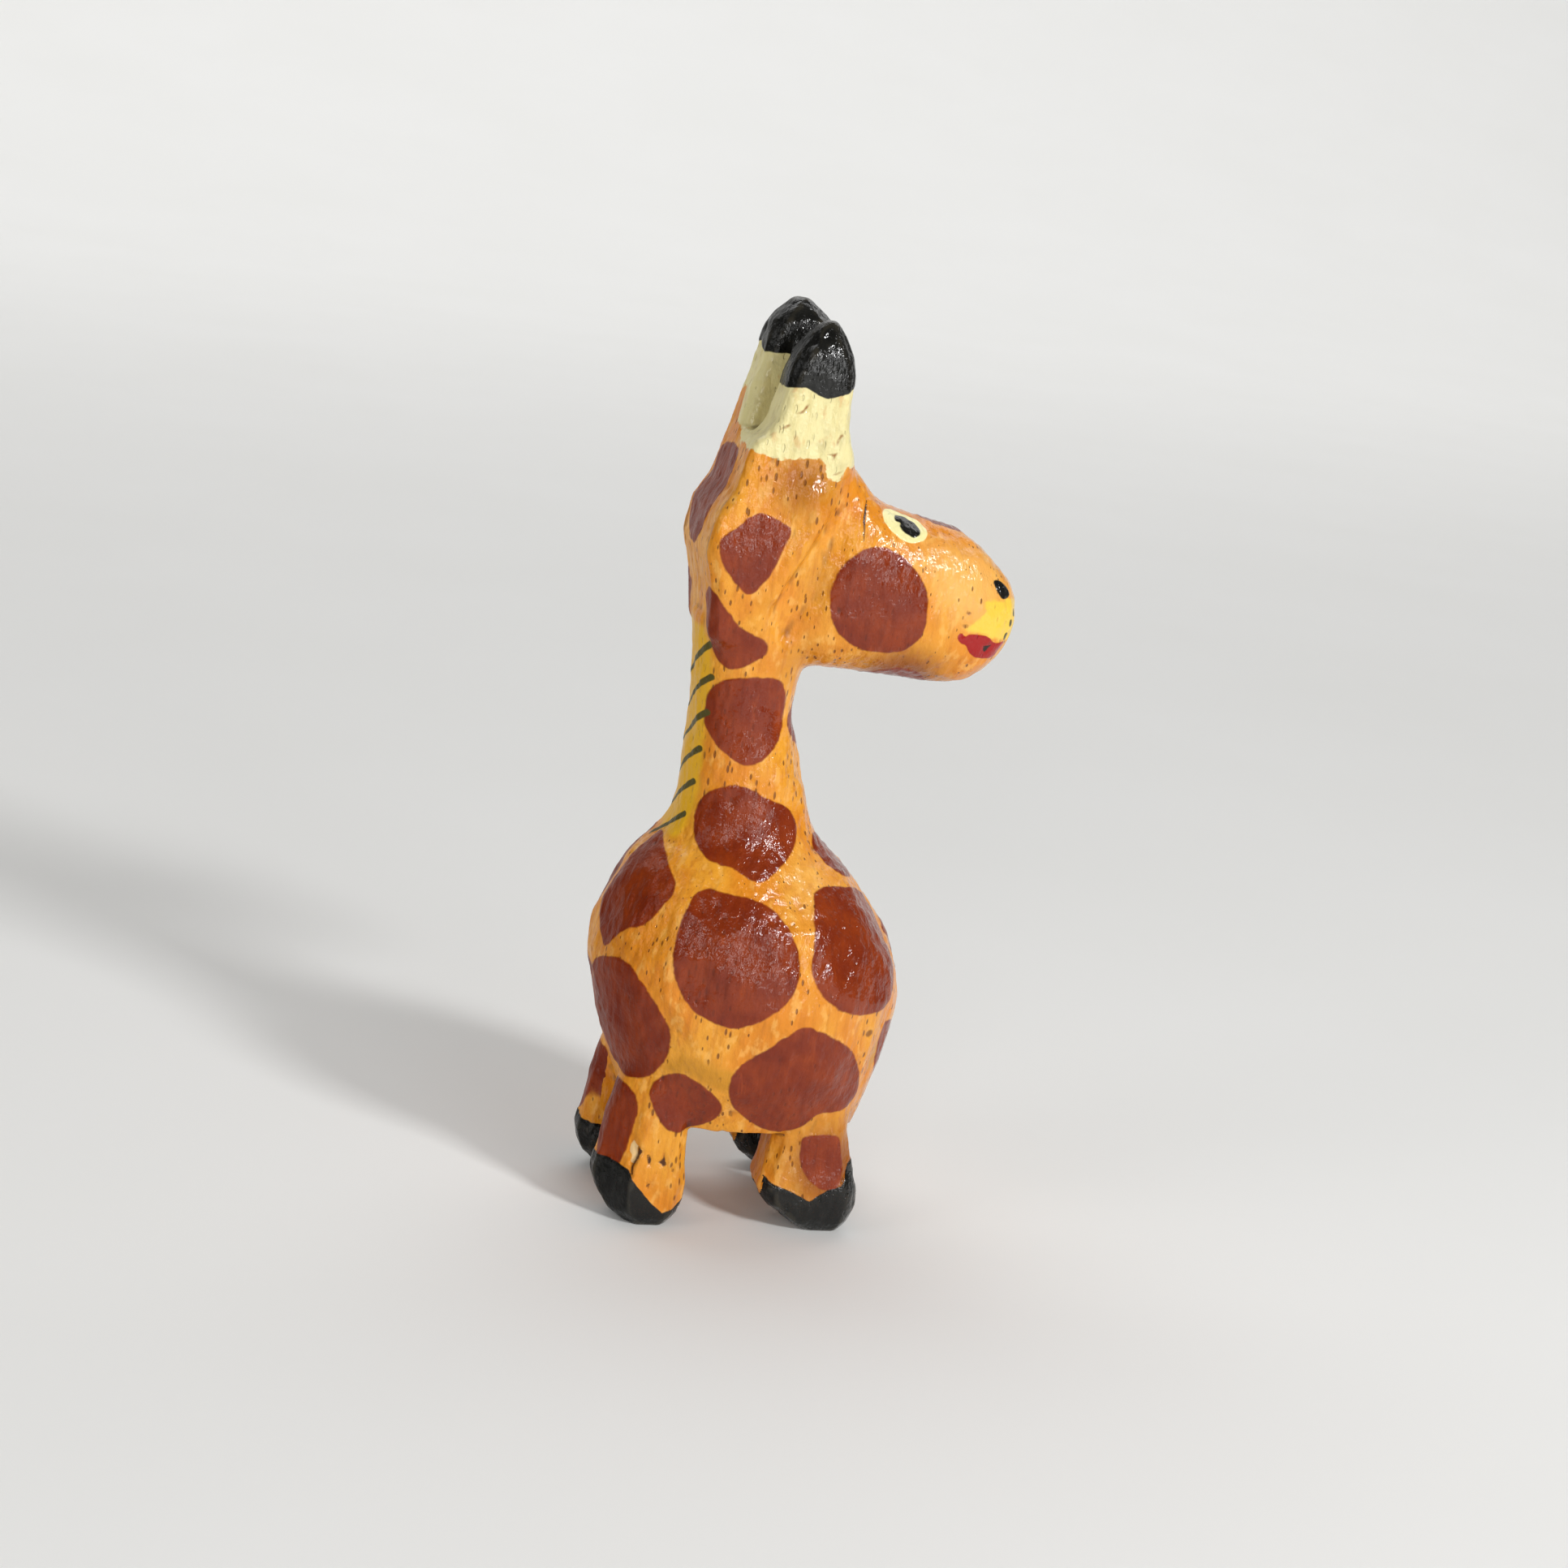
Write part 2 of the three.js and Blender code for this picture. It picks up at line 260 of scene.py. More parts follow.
def knock_about(points, normals):
    """Small dents on the horn tips and low on the neck, and open pits all over the body."""
    height = points[:, 2]
    tops = height > TIP_BASE["right"] + 0.8
    low_neck = (np.abs(height - SHOULDER) < 2.4) & (np.abs(points[:, 1]) > 3)
    body = (height > HOOF_TOP) & (height < SHOULDER)
    upper = (height > SHOULDER) & (height < HORN_BASE)
    for where, count, usual_width, usual_depth in (
            (tops, 36, 0.38, 0.10), (low_neck, 30, 0.45, 0.09),
            (body, 160, 0.16, 0.09), (upper, 70, 0.16, 0.08)):
        for at in rng.choice(np.flatnonzero(where), count, replace=False):
            width = usual_width * rng.uniform(0.6, 1.5)
            depth = usual_depth * rng.uniform(0.4, 1.3)
            dent(points, normals, points[at].copy(), width, depth)


def soften(points, edges, hooves):
    """Evens out the folds between the members, and leaves the hooves and the horns crisp."""
    x, height = points[:, 0], points[:, 2]
    trunk = rise(height, BELLY, BELLY + 2) * (1 - rise(height, 43.5, 45.5))
    face = rise(x, -0.5, 2.5) * rise(height, 41, 43) * (1 - rise(height, 57.5, 59))
    points = smooth(points, edges, hooves, 0.14)
    points = smooth(points, edges, np.maximum(trunk, face), 0.9)
    throat = np.exp(-(((points - np.array(JAW_CORNER)) / (2.2, 4, 2.2)) ** 2).sum(1))
    points = smooth(points, edges, throat, 0.8)
    for side in SIDES.values():
        points = smooth(points, edges, beside_path(points, on_side(EAR_VALLEY, side), 2.3), 1.4)
    return points


def plane(points, normals):
    """Goes over the whole surface with the knife: in long strokes on the body, in short ones elsewhere."""
    height = points[:, 2]
    body = (height > BELLY + 1) & (height < SHOULDER - 0.5)
    neck = (height > SHOULDER + 1) & (height < HEAD_LOW[2])
    rest = (height > HEAD_LOW[2]) | ((height < BELLY - 0.5) & (height > 0.5))
    whittle(points, normals, body, spacing=3.3, depth=0.17)
    whittle(points, normals, neck, spacing=2.3, depth=0.10)
    whittle(points, normals, rest, spacing=2.6, depth=0.055, lean=0.04)


def carve(mesh):
    """Shapes the skin: evens it, planes it with the knife and leaves it slightly uneven."""
    points = read(mesh.vertices, "co", 3).astype(float)
    edges = read(mesh.edges, "vertices", 2, np.int32)
    hooves = rise(points[:, 2], HOOF_TOP - 1.2, HOOF_TOP + 0.5) * 0.7 + 0.3
    points = soften(points, edges, hooves)
    write_points(mesh, points)
    normals = read_normals(mesh)
    plane(points, normals)
    shape_head(points, normals)
    slim_horn(points)
    points = smooth(points, edges, hooves, 0.17)
    write_points(mesh, points)
    normals = read_normals(mesh)
    knock_about(points, normals)
    uneven = 0.032 * ripple(points, 3.2) + 0.027 * ripple(points * (1, 1, 0.6), 0.85)
    points += normals * (uneven * rise(points[:, 2], 0.2, 1.2))[:, None]
    write_points(mesh, points)
    return points, read_normals(mesh), edges


# ---- painted patches


def closed_curve(corners, steps=6):
    """A smooth closed outline through the corners."""
    corners = np.array(corners, float)
    before, after = np.roll(corners, 1, 0), np.roll(corners, -1, 0)
    next_after = np.roll(corners, -2, 0)
    outline = []
    for step in range(steps):
        t = step / steps
        outline.append(
            0.5 * (2 * corners + (after - before) * t
                   + (2 * before - 5 * corners + 4 * after - next_after) * t ** 2
                   + (3 * corners - before - 3 * after + next_after) * t ** 3))
    return np.stack(outline, 1).reshape(-1, 2)


def outline_distance(across, up, outline):
    """Distance to a closed outline, negative inside it."""
    best = np.full(len(across), np.inf)
    inside = np.zeros(len(across), bool)
    for (x0, y0), (x1, y1) in zip(outline, np.roll(outline, -1, 0)):
        dx, dy = x1 - x0, y1 - y0
        along = np.clip(((across - x0) * dx + (up - y0) * dy) / (dx * dx + dy * dy), 0, 1)
        gap = np.hypot(across - x0 - along * dx, up - y0 - along * dy)
        best = np.minimum(best, gap)
        crosses = (y0 > up) != (y1 > up)
        if dy:
            inside ^= crosses & (across < x0 + (up - y0) * dx / dy)
    return np.where(inside, -best, best)


FAR = 5.0  # a distance that counts as nowhere near a patch


class Patch:
    """A painted patch: an outline seen from straight in front of its place on the surface."""

    def __init__(self, place, azimuth, elevation, corners, depth=2.6, rounded=True):
        self.place = np.array(place, float)
        self.azimuth, self.elevation = azimuth, elevation
        self.corners, self.depth = np.array(corners, float), depth
        self.rounded = rounded

    def mirrored(self, turn=0, scale=1.0, spin=0, lift=0):
        """The patch on the other side of the giraffe, moved a little so that the sides differ."""
        angle = math.radians(turn)
        axis = BODY_MIDDLE[0] if self.place[2] < SHOULDER else (NECK_LOW[0] + NECK_HIGH[0]) / 2
        x, y = self.place[0] - axis, -self.place[1]
        place = (axis + x * math.cos(angle) - y * math.sin(angle),
                 x * math.sin(angle) + y * math.cos(angle), self.place[2] + lift)
        c, s = math.cos(math.radians(spin)), math.sin(math.radians(spin))
        corners = self.corners * (-1, 1) * scale
        corners = corners @ np.array([[c, s], [-s, c]])
        return Patch(place, turn - self.azimuth, self.elevation, corners[::-1], self.depth, self.rounded)

    def distance(self, points):
        """Distance of each point from the patch's edge, negative inside it."""
        out, across, up = facing_axes(self.azimuth, self.elevation)
        offset = points - self.place
        reach = np.abs(self.corners).max() * 1.5 + 1
        near = (np.abs(offset @ out) < self.depth) & (np.linalg.norm(offset, axis=1) < reach + self.depth)
        outline = closed_curve(self.corners) if self.rounded else self.corners
        result = np.full(len(points), FAR)
        result[near] = outline_distance(offset[near] @ across, offset[near] @ up, outline)
        return result


def oval(half_length, half_width, turn=0, count=14):
    """Corners of an oval, its long axis turned from level."""
    angle = np.linspace(0, 2 * math.pi, count, endpoint=False)
    c, s = math.cos(math.radians(turn)), math.sin(math.radians(turn))
    x, y = half_length * np.cos(angle), half_width * np.sin(angle)
    return np.stack([x * c - y * s, x * s + y * c], 1)


def near_any(points, patches):
    distance = np.full(len(points), FAR)
    for patch in patches:
        distance = np.minimum(distance, patch.distance(points))
    return distance


# The brown spots on the right-hand side: place, azimuth and elevation of the surface there, corners.
RIGHT_SPOTS = {
    "belly": Patch((-5.2, -8.7, 22.0), -100, 15, [
        (-3.4, 4.8), (-1.0, 4.9), (1.8, 4.3), (3.6, 2.8), (4.7, 0.5), (4.5, -2.0), (2.7, -4.0), (0.5, -5.0),
        (-1.6, -4.6), (-3.4, -3.4), (-4.6, -1.0), (-4.6, 1.6)]),
    "shoulder": Patch((4.2, -5.8, 22.7), -50, 20, [
        (-2.9, 4.8), (0.6, 4.5), (3.8, 3.7), (4.8, 1.2), (4.4, -1.2), (3.4, -3.8), (2.2, -5.0), (-0.4, -5.2),
        (-3.0, -4.5), (-4.6, -3.0), (-5.2, -0.8), (-4.4, 2.4)]),
    "rump_top": Patch((-12.2, -3.1, 25.2), -160, 25, [
        (-1.9, 5.0), (1.2, 3.4), (3.4, 1.8), (3.4, 0.0), (2.6, -1.8), (1.2, -3.0), (-0.2, -4.6), (-1.4, -4.4),
        (-3.6, -2.2), (-3.4, 0.4), (-2.9, 2.8)]),
    "thigh": Patch((-12.0, -2.8, 15.3), -145, -5, [
        (-1.2, 4.8), (1.7, 5.5), (3.6, 4.4), (5.1, 2.7), (6.0, 0.8), (5.6, -1.4), (4.3, -3.2), (2.2, -3.9),
        (-1.2, -3.6), (-3.8, -1.4), (-4.0, 1.4), (-3.0, 3.2)]),
    "flank": Patch((-7.5, -7.8, 10.4), -105, -10, [
        (-2.8, 0.4), (-2.2, 1.6), (-0.8, 2.5), (0.9, 1.9), (2.4, 0.6), (2.8, -0.5), (2.2, -1.6), (0.4, -2.5),
        (-1.1, -2.3), (-2.1, -1.0)]),
    "elbow": Patch((0.8, -8.2, 12.8), -80, -15, [
        (-5.5, -0.6), (-5.0, 1.2), (-3.4, 2.8), (-2.2, 4.1), (-0.8, 5.0), (1.2, 4.3), (3.6, 2.8), (5.2, 0.2),
        (5.5, -2.0), (4.4, -2.8), (2.3, -3.0), (1.0, -4.2), (-0.6, -4.7), (-2.4, -4.2), (-4.6, -2.6)]),
    "breast": Patch((8.4, -4.6, 14.6), -30, -10, [
        (-1.0, 2.0), (0.6, 1.8), (1.6, 0.4), (1.4, -1.6), (0.2, -2.6), (-1.0, -1.6), (-1.5, 0.4)]),
    "chest": Patch((2.9, -2.7, 28.7), -30, 40, [
        (-1.3, 2.2), (0.6, 2.6), (2.2, 1.6), (2.6, -0.6), (1.8, -1.8), (-0.4, -1.4), (-1.5, 0.2)]),
    "neck_low": Patch((-4.4, -5.4, 31.0), -95, 20, [
        (-4.3, 0.6), (-4.1, 2.1), (-3.2, 3.0), (-1.7, 3.4), (-0.4, 3.2), (1.0, 2.6), (2.4, 2.3), (3.3, 1.3),
        (3.5, 0.2), (3.2, -1.0), (2.4, -2.2), (1.4, -3.3), (0.4, -3.7), (-1.4, -2.8), (-3.1, -2.3),
        (-4.0, -1.0)]),
    "neck_middle": Patch((-5.8, -3.8, 39.4), -100, 0, [
        (-3.0, -0.1), (-2.9, 1.5), (-2.2, 2.5), (-1.2, 2.9), (0.4, 3.2), (2.0, 3.2), (2.8, 2.2), (2.9, 0.2),
        (2.8, -1.4), (1.9, -2.9), (0.5, -3.5), (-0.8, -3.0), (-2.0, -2.1), (-2.8, -1.1)]),
    "neck_top": Patch((-7.6, -3.9, 46.3), -115, -10, [
        (-2.2, 1.2), (-2.1, 2.5), (-1.6, 3.0), (-0.9, 2.5), (-0.2, 1.5), (0.8, 0.2), (2.1, -0.6), (2.7, -1.4),
        (2.3, -2.3), (0.6, -3.2), (-0.5, -3.0), (-1.4, -1.8)]),
    "ear": Patch((-7.1, -5.6, 52.0), -90, 0, [
        (-2.6, 0.3), (-2.4, 1.1), (-1.5, 1.8), (-0.5, 2.7), (0.4, 3.0), (1.6, 2.6), (2.6, 2.0), (2.2, 0.6),
        (1.7, -0.9), (1.0, -2.2), (0.1, -3.0), (-0.9, -2.4), (-2.1, -1.1)]),
    "cheek": Patch((3.2, -4.6, 49.1), -85, -5, [
        (-3.8, -0.4), (-3.8, 0.9), (-3.2, 2.4), (-2.2, 3.5), (-1.0, 4.0), (0.2, 3.9), (1.6, 3.3), (2.7, 2.2),
        (3.5, 1.0), (3.7, -0.4), (3.7, -1.9), (3.1, -3.1), (2.0, -3.8), (0.2, -3.9), (-1.4, -3.6),
        (-2.9, -2.6), (-3.6, -1.4)]),
}
# Brown spots that sit astride the middle line.
MIDDLE_SPOTS = {
    "crown": Patch((-9.6, 0.8, 55.4), 180, 10, [
        (-3.2, 3.2), (0.4, 3.9), (2.6, 3.3), (2.9, 1.4), (2.9, -0.4), (2.4, -2.4), (1.2, -3.8), (-0.8, -3.9),
        (-2.8, -2.8), (-3.6, -0.6), (-3.2, 1.4)]),
    "nose": Patch((8.2, 0.3, 55.0), 0, 80, oval(1.6, 2.2, turn=10, count=9)),
    "jaw": Patch((5.6, -0.3, 43.0), 0, -85, oval(2.6, 3.0, turn=20, count=9)),
    "brisket": Patch((9.6, 0.4, 21.4), 0, 5, oval(2.0, 2.7, turn=15, count=8)),
    "throat": Patch((-1.4, -0.2, 38.8), 0, 5, oval(2.9, 2.0, turn=-10, count=8)),
}


def brown_patches():
    """Every brown spot. The left-hand side repeats the right one's with small changes."""
    changes = {
        "belly": dict(turn=5, scale=0.96, spin=12), "shoulder": dict(turn=-3, scale=1.03, spin=-8),
        "rump_top": dict(turn=-9, scale=0.9, spin=6), "thigh": dict(turn=-8, scale=0.95, lift=0.6),
        "flank": dict(turn=-4, scale=1.15, spin=15), "elbow": dict(turn=3, scale=0.94, spin=-6),
        "breast": dict(turn=2), "chest": dict(turn=6, scale=0.9), "neck_low": dict(turn=4, spin=10),
        "neck_middle": dict(turn=-5, spin=-14), "neck_top": dict(scale=0.95), "ear": dict(spin=8),
        "cheek": dict(scale=0.96, lift=0.3),
    }
    left = [RIGHT_SPOTS[name].mirrored(**change) for name, change in changes.items()]
    return list(RIGHT_SPOTS.values()) + left + list(MIDDLE_SPOTS.values()) + leg_spots()


def leg_spots():
    """One spot on the outside of each front leg, and one on the back of each rear leg."""
    front = Patch((3.7, -7.5, 5.8), -85, 10, [
        (-1.7, 0.9), (-1.5, 2.0), (0.0, 2.2), (1.2, 2.0), (1.7, 0.1), (1.7, -1.6), (0.8, -2.2), (-0.3, -1.8),
        (-1.4, -0.6)], depth=1.6)
    rear = Patch((-12.0, -5.2, 7.6), -140, 0, [
        (-1.8, 2.8), (0.6, 3.2), (1.9, 2.2), (1.8, 0.0), (1.4, -2.2), (0.8, -3.1), (-1.4, -2.8), (-2.2, 0.0)],
        depth=1.8)
    return [front, front.mirrored(spin=20), rear, rear.mirrored(scale=0.95)]


# ---- paint round the ends


def border_height(points, centre, stations):
    """Height of a paint border round an upright member, from (angle in degrees, height) stations."""
    turn = np.degrees(np.arctan2(points[:, 1] - centre[1], points[:, 0] - centre[0]))
    angles, heights = np.array(sorted(stations), float).T
    return np.interp(turn, angles, heights, period=360)


HOOF_BORDERS = {  # heights of the black paint's upper edge round each hoof
    "rear_right": [(-165, 4.9), (-120, 4.5), (-100, 3.4), (-75, 2.2), (-52, 1.2), (-38, 1.6), (-20, 2.8),
                   (30, 3.6), (90, 4.2), (140, 4.6)],
    "front_right": [(-165, 4.6), (-130, 3.7), (-110, 3.2), (-88, 2.7), (-65, 3.5), (-45, 4.0), (-32, 5.6),
                    (-10, 6.2), (30, 5.6), (90, 3.8), (150, 4.4)],
    "rear_left": [(-150, 4.4), (-90, 4.0), (-20, 3.2), (30, 2.6), (60, 1.6), (90, 2.8), (125, 4.4),
                  (165, 4.8)],
    "front_left": [(-140, 4.2), (-90, 3.9), (-20, 4.8), (35, 4.2), (70, 3.4), (95, 2.4), (130, 3.8),
                   (165, 4.5)],
}


def black_distance(points):
    """Distance into the black paint of the hooves and the horn tips."""
    distance = np.full(len(points), FAR)
    low = points[:, 2] < BELLY
    for leg, stations in HOOF_BORDERS.items():
        corner_low, corner_high = node_box("hoof_" + leg)
        centre = (corner_low + corner_high) / 2
        offset = points[:, :2] - centre[:2]
        own = low & (offset * np.sign(centre[:2]) > -3.6).all(1) & (np.abs(offset).max(1) < 6)
        above = points[own, 2] - border_height(points[own], centre, stations)
        distance[own] = np.minimum(distance[own], above)
    tip_borders = {
        "right": [(-150, 64.1), (-120, 64.3), (-95, 63.9), (-75, 63.6), (-50, 64.0), (-25, 64.6), (60, 64.3),
                  (150, 64.1)],
        "left": [(-160, 65.9), (-120, 66.0), (-60, 65.6), (0, 65.3), (60, 65.5), (120, 65.9), (165, 66.5)],
    }
    high = points[:, 2] > HORN_BASE
    for word, side in SIDES.items():
        corner_low, corner_high = node_box("horn_tip_" + word)
        own = high & (points[:, 1] * side > 0)
        border = border_height(points[own], (corner_low + corner_high) / 2, tip_borders[word])
        distance[own] = border - points[own, 2]
    return distance


def cream_distance(points):
    """Distance into the cream paint of the horns. Its lower edge is ragged and runs down at the front."""
    centre = (HEAD_LOW[0] + 6.5, 0)
    ragged = 0.13 * ripple(points, 1.5) + 0.07 * ripple(points, 0.6)
    border = border_height(points, centre, [
        (-170, 59.5), (-125, 59.3), (-104, 59.0), (-96, 59.3), (-80, 59.2), (-68, 58.8), (-40, 59.0),
        (0, 59.1), (45, 58.7), (90, 59.2), (125, 59.3), (150, 60.4), (168, 60.4)])
    outer_back = rise(points[:, 1], 2.2, 3.0) * (1 - rise(points[:, 0], -6.0, -4.4))
    above = border + ragged + 3.4 * outer_back - points[:, 2]
    run = near_any(points, both(CREAM_RUN, lift=0.5)) + 0.5 * ragged
    return np.minimum(np.where(points[:, 2] > HORN_BASE - 5, above, FAR), run)


# ---- face and mane

EYE = Patch((4.9, -3.0, 54.6), -70, 46, [
    (-1.9, 1.2), (-1.2, 1.8), (-0.4, 1.85), (0.5, 1.45), (1.4, 0.75), (1.7, -0.2), (1.2, -1.0), (0.2, -1.25),
    (-0.7, -1.05), (-1.5, -0.35), (-1.95, 0.4)])
PUPIL = Patch((4.9, -3.0, 54.6), -70, 46, [
    (-0.72, 1.12), (-0.2, 1.2), (0.3, 0.95), (0.88, 0.5), (1.07, -0.15), (0.78, -0.68), (0.2, -0.82),
    (-0.4, -0.47), (-0.76, 0.08), (-0.6, 0.34), (-0.94, 0.6)])
NOSTRIL = Patch((13.0, -2.6, 50.4), -55, 20, [
    (-0.72, 0.78), (-0.19, 0.8), (0.46, 0.4), (0.83, -0.12), (0.68, -0.5), (0.11, -0.64), (-0.38, -0.3),
    (-0.62, 0.2)])
MOUTH = Patch((11.8, -3.1, 46.2), -70, -10, [
    (-2.3, 0.6), (-2.05, 0.95), (-1.68, 0.74), (-1.3, 0.9), (0.1, 0.86), (0.8, 0.42), (1.2, 0.28),
    (2.2, 0.24), (1.9, -0.4), (1.3, -1.0), (-0.3, -0.92), (-0.8, -0.7), (-1.2, -0.4), (-1.48, 0.02),
    (-2.0, 0.19)])
MOUTH_LINE = Patch((11.8, -3.1, 46.2), -70, -10, [
    (0.04, 0.05), (0.5, 0.1), (0.94, 0.21), (0.54, -0.15), (0.38, -0.55), (0.11, -0.3)], rounded=False)
SNOUT_YELLOW = Patch((12.9, -2.9, 48.3), -55, 5, [
    (-2.0, -0.2), (-1.5, 0.5), (-1.4, 1.3), (-0.4, 1.4), (0.7, 1.5), (1.9, 1.4), (3.2, 0.8), (3.2, -1.2),
    (1.6, -1.7), (0.6, -1.6), (-0.7, -1.4), (-1.9, -1.0), (-2.8, -0.8)], depth=3.4)
CREAM_RUN = Patch((-1.3, -4.9, 58.6), -88, 5, [
    (-1.2, 1.2), (-1.1, 0.1), (-1.1, -0.7), (0.2, -0.72), (0.35, 0.2), (0.3, 1.2)], rounded=False)
CRACK = Patch((1.4, -3.9, 55.1), -60, 20, [
    (0.45, 1.7), (0.16, 0.9), (-0.13, 0.0), (-0.36, -1.7), (-0.44, -1.7), (-0.33, 0.0), (-0.04, 0.9)],
    rounded=False)

# Chips and wear: on the near rear leg, round the face, and on the right horn; and painted shade low on the
# right side of the body.
CHIPPED = (-9.9, -7.2, 5.4)
FLAKE = Patch(CHIPPED, -100, 0, [
    (-1.04, 1.45), (-0.76, 1.0), (-0.82, 0.75), (-0.66, 0.3), (-0.9, -0.36), (-1.15, -0.3), (-1.08, 0.2),
    (-1.32, 0.5), (-1.25, 1.05)], depth=1.2, rounded=False)
CHIPS = [Patch(CHIPPED, -100, 0, corners, depth=1.2, rounded=False) for corners in (
    [(-0.75, 1.04), (-0.42, 0.85), (-0.18, 0.73), (-0.6, 0.4), (-0.72, -0.04), (-0.93, -0.46), (-0.88, -1.3),
     (-1.06, -1.1), (-1.06, -0.42), (-0.88, 0.0), (-0.76, 0.5)],
    [(0.1, 0.45), (0.28, 0.57), (0.46, 0.1), (0.48, -0.3), (0.28, -0.27), (0.15, 0.16)],
    [(0.93, -0.02), (1.28, 0.12), (1.36, 0.64), (1.52, 0.05), (1.7, -0.2), (1.44, -0.44), (1.24, -0.2)],
    [(2.14, -0.41), (2.3, -0.59), (2.28, -0.94), (2.12, -0.81)],
    [(0.37, -1.65), (0.59, -1.88), (0.52, -2.29), (0.33, -2.1)])]
MARKS = [Patch((5.6, -6.4, 16.4), -60, 0, oval(0.38, 0.25, turn=20, count=7)),
         Patch((10.2, -4.0, 47.7), -80, 0, oval(0.28, 0.11, count=7)),
         Patch((10.3, -4.0, 48.7), -80, 0, oval(0.22, 0.14, turn=-30, count=7)),
         Patch((-4.0, -8.3, 9.6), -92, -15, oval(0.13, 0.33, turn=15, count=7))]
# Painted shade: darker olive orange where the right side of the body turns under.
PAINTED_SHADES = [
    Patch((-3.4, -8.7, 14.6), -95, -10, [
        (-5.4, -0.7), (-4.5, -0.3), (-2.9, -0.4), (-0.8, -1.0), (0.0, -1.5), (-1.1, -2.6), (-2.2, -2.5),
        (-3.9, -1.9), (-5.6, -2.0), (-6.1, -1.6)]),
    Patch((7.0, -5.6, 15.0), -50, 0, [(-0.6, -0.9), (-0.2, 0.2), (1.9, 0.6), (1.4, -0.6), (0.0, -2.1)])]
SCRATCHES = [Patch((-3.6, -3.9, 61.6), -90, 0, corners, rounded=False) for corners in (
    [(-0.62, 1.6), (-0.78, 1.18), (-1.1, 0.86), (-1.5, 0.78), (-1.06, 1.05), (-0.86, 1.42)],
    [(-1.8, 0.0), (-2.09, -0.3), (-2.6, -0.47), (-2.17, -0.15)],
    [(2.2, -0.43), (1.97, -0.76), (1.75, -1.3), (1.8, -0.81), (2.0, -0.36)],
    [(1.9, -1.78), (1.58, -2.4), (1.6, -1.98), (1.15, -1.92)],
    [(2.55, -3.02), (2.08, -3.32), (1.65, -3.44), (2.06, -3.2)])]


def both(patch, **change):
    return [patch, patch.mirrored(**change)]


def snout_dots():
    """Small dark whisker dots on the front of the snout."""
    middle = SNOUT_YELLOW.place
    dots = []
    for spot in [(1.75, 0.4), (1.36, -0.38), (1.1, -1.4)]:
        corners = oval(0.2, 0.32, count=6) + spot
        dots += both(Patch(middle, SNOUT_YELLOW.azimuth, SNOUT_YELLOW.elevation, corners, depth=3))
    return dots


def mane_distance(points):
    """Distance into the yellow band down the back of the neck."""
    middle = (NECK_LOW[0] + NECK_HIGH[0]) / 2
    top, bottom = HEAD_LOW[2] + 3.2, SHOULDER - 1.6
    half_width = 2.9 - 0.7 * rise(points[:, 2], 43, 47)
    beside = np.abs(points[:, 1]) - half_width
    above = points[:, 2] - top
    below = bottom - points[:, 2]
    distance = np.maximum(np.maximum(beside, above), below)
    return np.where(points[:, 0] < middle - 1, distance, FAR)


MANE_STROKES = [  # height of each dash's near end, how far out that end is, and how far across it reaches
    (44.6, 3.0, 4.2), (42.1, 3.0, 4.2), (39.4, 2.9, 4.2),
    (36.5, 2.6, 3.8), (33.9, 2.4, 3.6), (31.3, 2.3, 3.4)]


def mane_strokes(points):
    """Distance to the slanting dashes across the mane."""
    distance = np.full(len(points), FAR)
    back = points[:, 0] < (NECK_LOW[0] + NECK_HIGH[0]) / 2 - 1
    for height, reach, length in MANE_STROKES:
        start = np.array([-reach, height])
        slope = np.array([1.0, -0.75])
        offset = points[:, 1:] - start
        along = np.clip(offset @ slope / (slope @ slope), 0, length)
        gap = np.linalg.norm(offset - along[:, None] * slope, axis=1)
        thickness = 0.25 * (1 - 0.4 * along / length)
        distance = np.where(back, np.minimum(distance, gap - thickness), distance)
    return distance


def paint_layers(points, normals):
    """Distances from the edge of every kind of paint, negative where it covers the wood.

    The last two are painted shade and painted light in the orange, laid as if it were thicker or thinner, and
    how thick the varnish is: it thins towards the back.
    """
    return {
        "brown": near_any(points, brown_patches()),
        "black": np.minimum(black_distance(points), near_any(points, both(PUPIL) + both(NOSTRIL))),
        "cream": cream_distance(points),
        "eye": near_any(points, both(EYE)),
        "mane": mane_distance(points),
        "yellow": near_any(points, both(SNOUT_YELLOW)),
        "olive": np.minimum(mane_strokes(points), near_any(points, snout_dots())),
        "red": near_any(points, both(MOUTH)),
        "line": near_any(points, both(MOUTH_LINE) + [CRACK]),
        "flake": near_any(points, [FLAKE]),
        "chip": near_any(points, CHIPS),
        "scratch": near_any(points, SCRATCHES + MARKS),
        "painted_shade": near_any(points, PAINTED_SHADES),
        "tone_light_and_shade": tone_light_and_shade(points),
        "shine": 1 - 0.8 * rise(-normals[:, 0], 0.35, 0.8),
    }


TONE_LIGHT_AND_SHADE = [  # painted shade where the orange is darkened, above 0, and painted light where it is lightened, below 0: place, reach and strength
    ((-4.0, -5.0, 57.5), 3.2, 0.8), ((-1.0, -4.7, 50.0), 2.6, 0.5), ((6.0, -2.6, 42.8), 3.8, 1.3),
    ((-2.0, -4.0, 43.6), 3.0, 0.5), ((10.5, -3.5, 50.5), 3.6, -0.9), ((6.5, -4.0, 53.0), 2.4, -0.4),
    ((1.0, -6.5, 27.5), 4.0, -0.5), ((4.0, -6.5, 18.0), 4.0, -0.3), ((-11.0, -4.0, 20.0), 3.5, 0.6),
    ((2.0, 0.0, 9.5), 6.0, 1.0), ((4.5, -6.5, 5.0), 3.5, 1.2), ((-6.0, -3.0, 36.0), 3.0, 0.3)]


def tone_light_and_shade(points):
    """Painted shade and painted light in the orange, laid as thicker or thinner paint, on both sides alike.
    """
    total = np.zeros(len(points))
    folded = points * (1, 0, 1) - np.abs(points) * (0, 1, 0)
    for place, reach, strength in TONE_LIGHT_AND_SHADE:
        total += strength * np.exp(-(((folded - place) / reach) ** 2).sum(1))
    return total


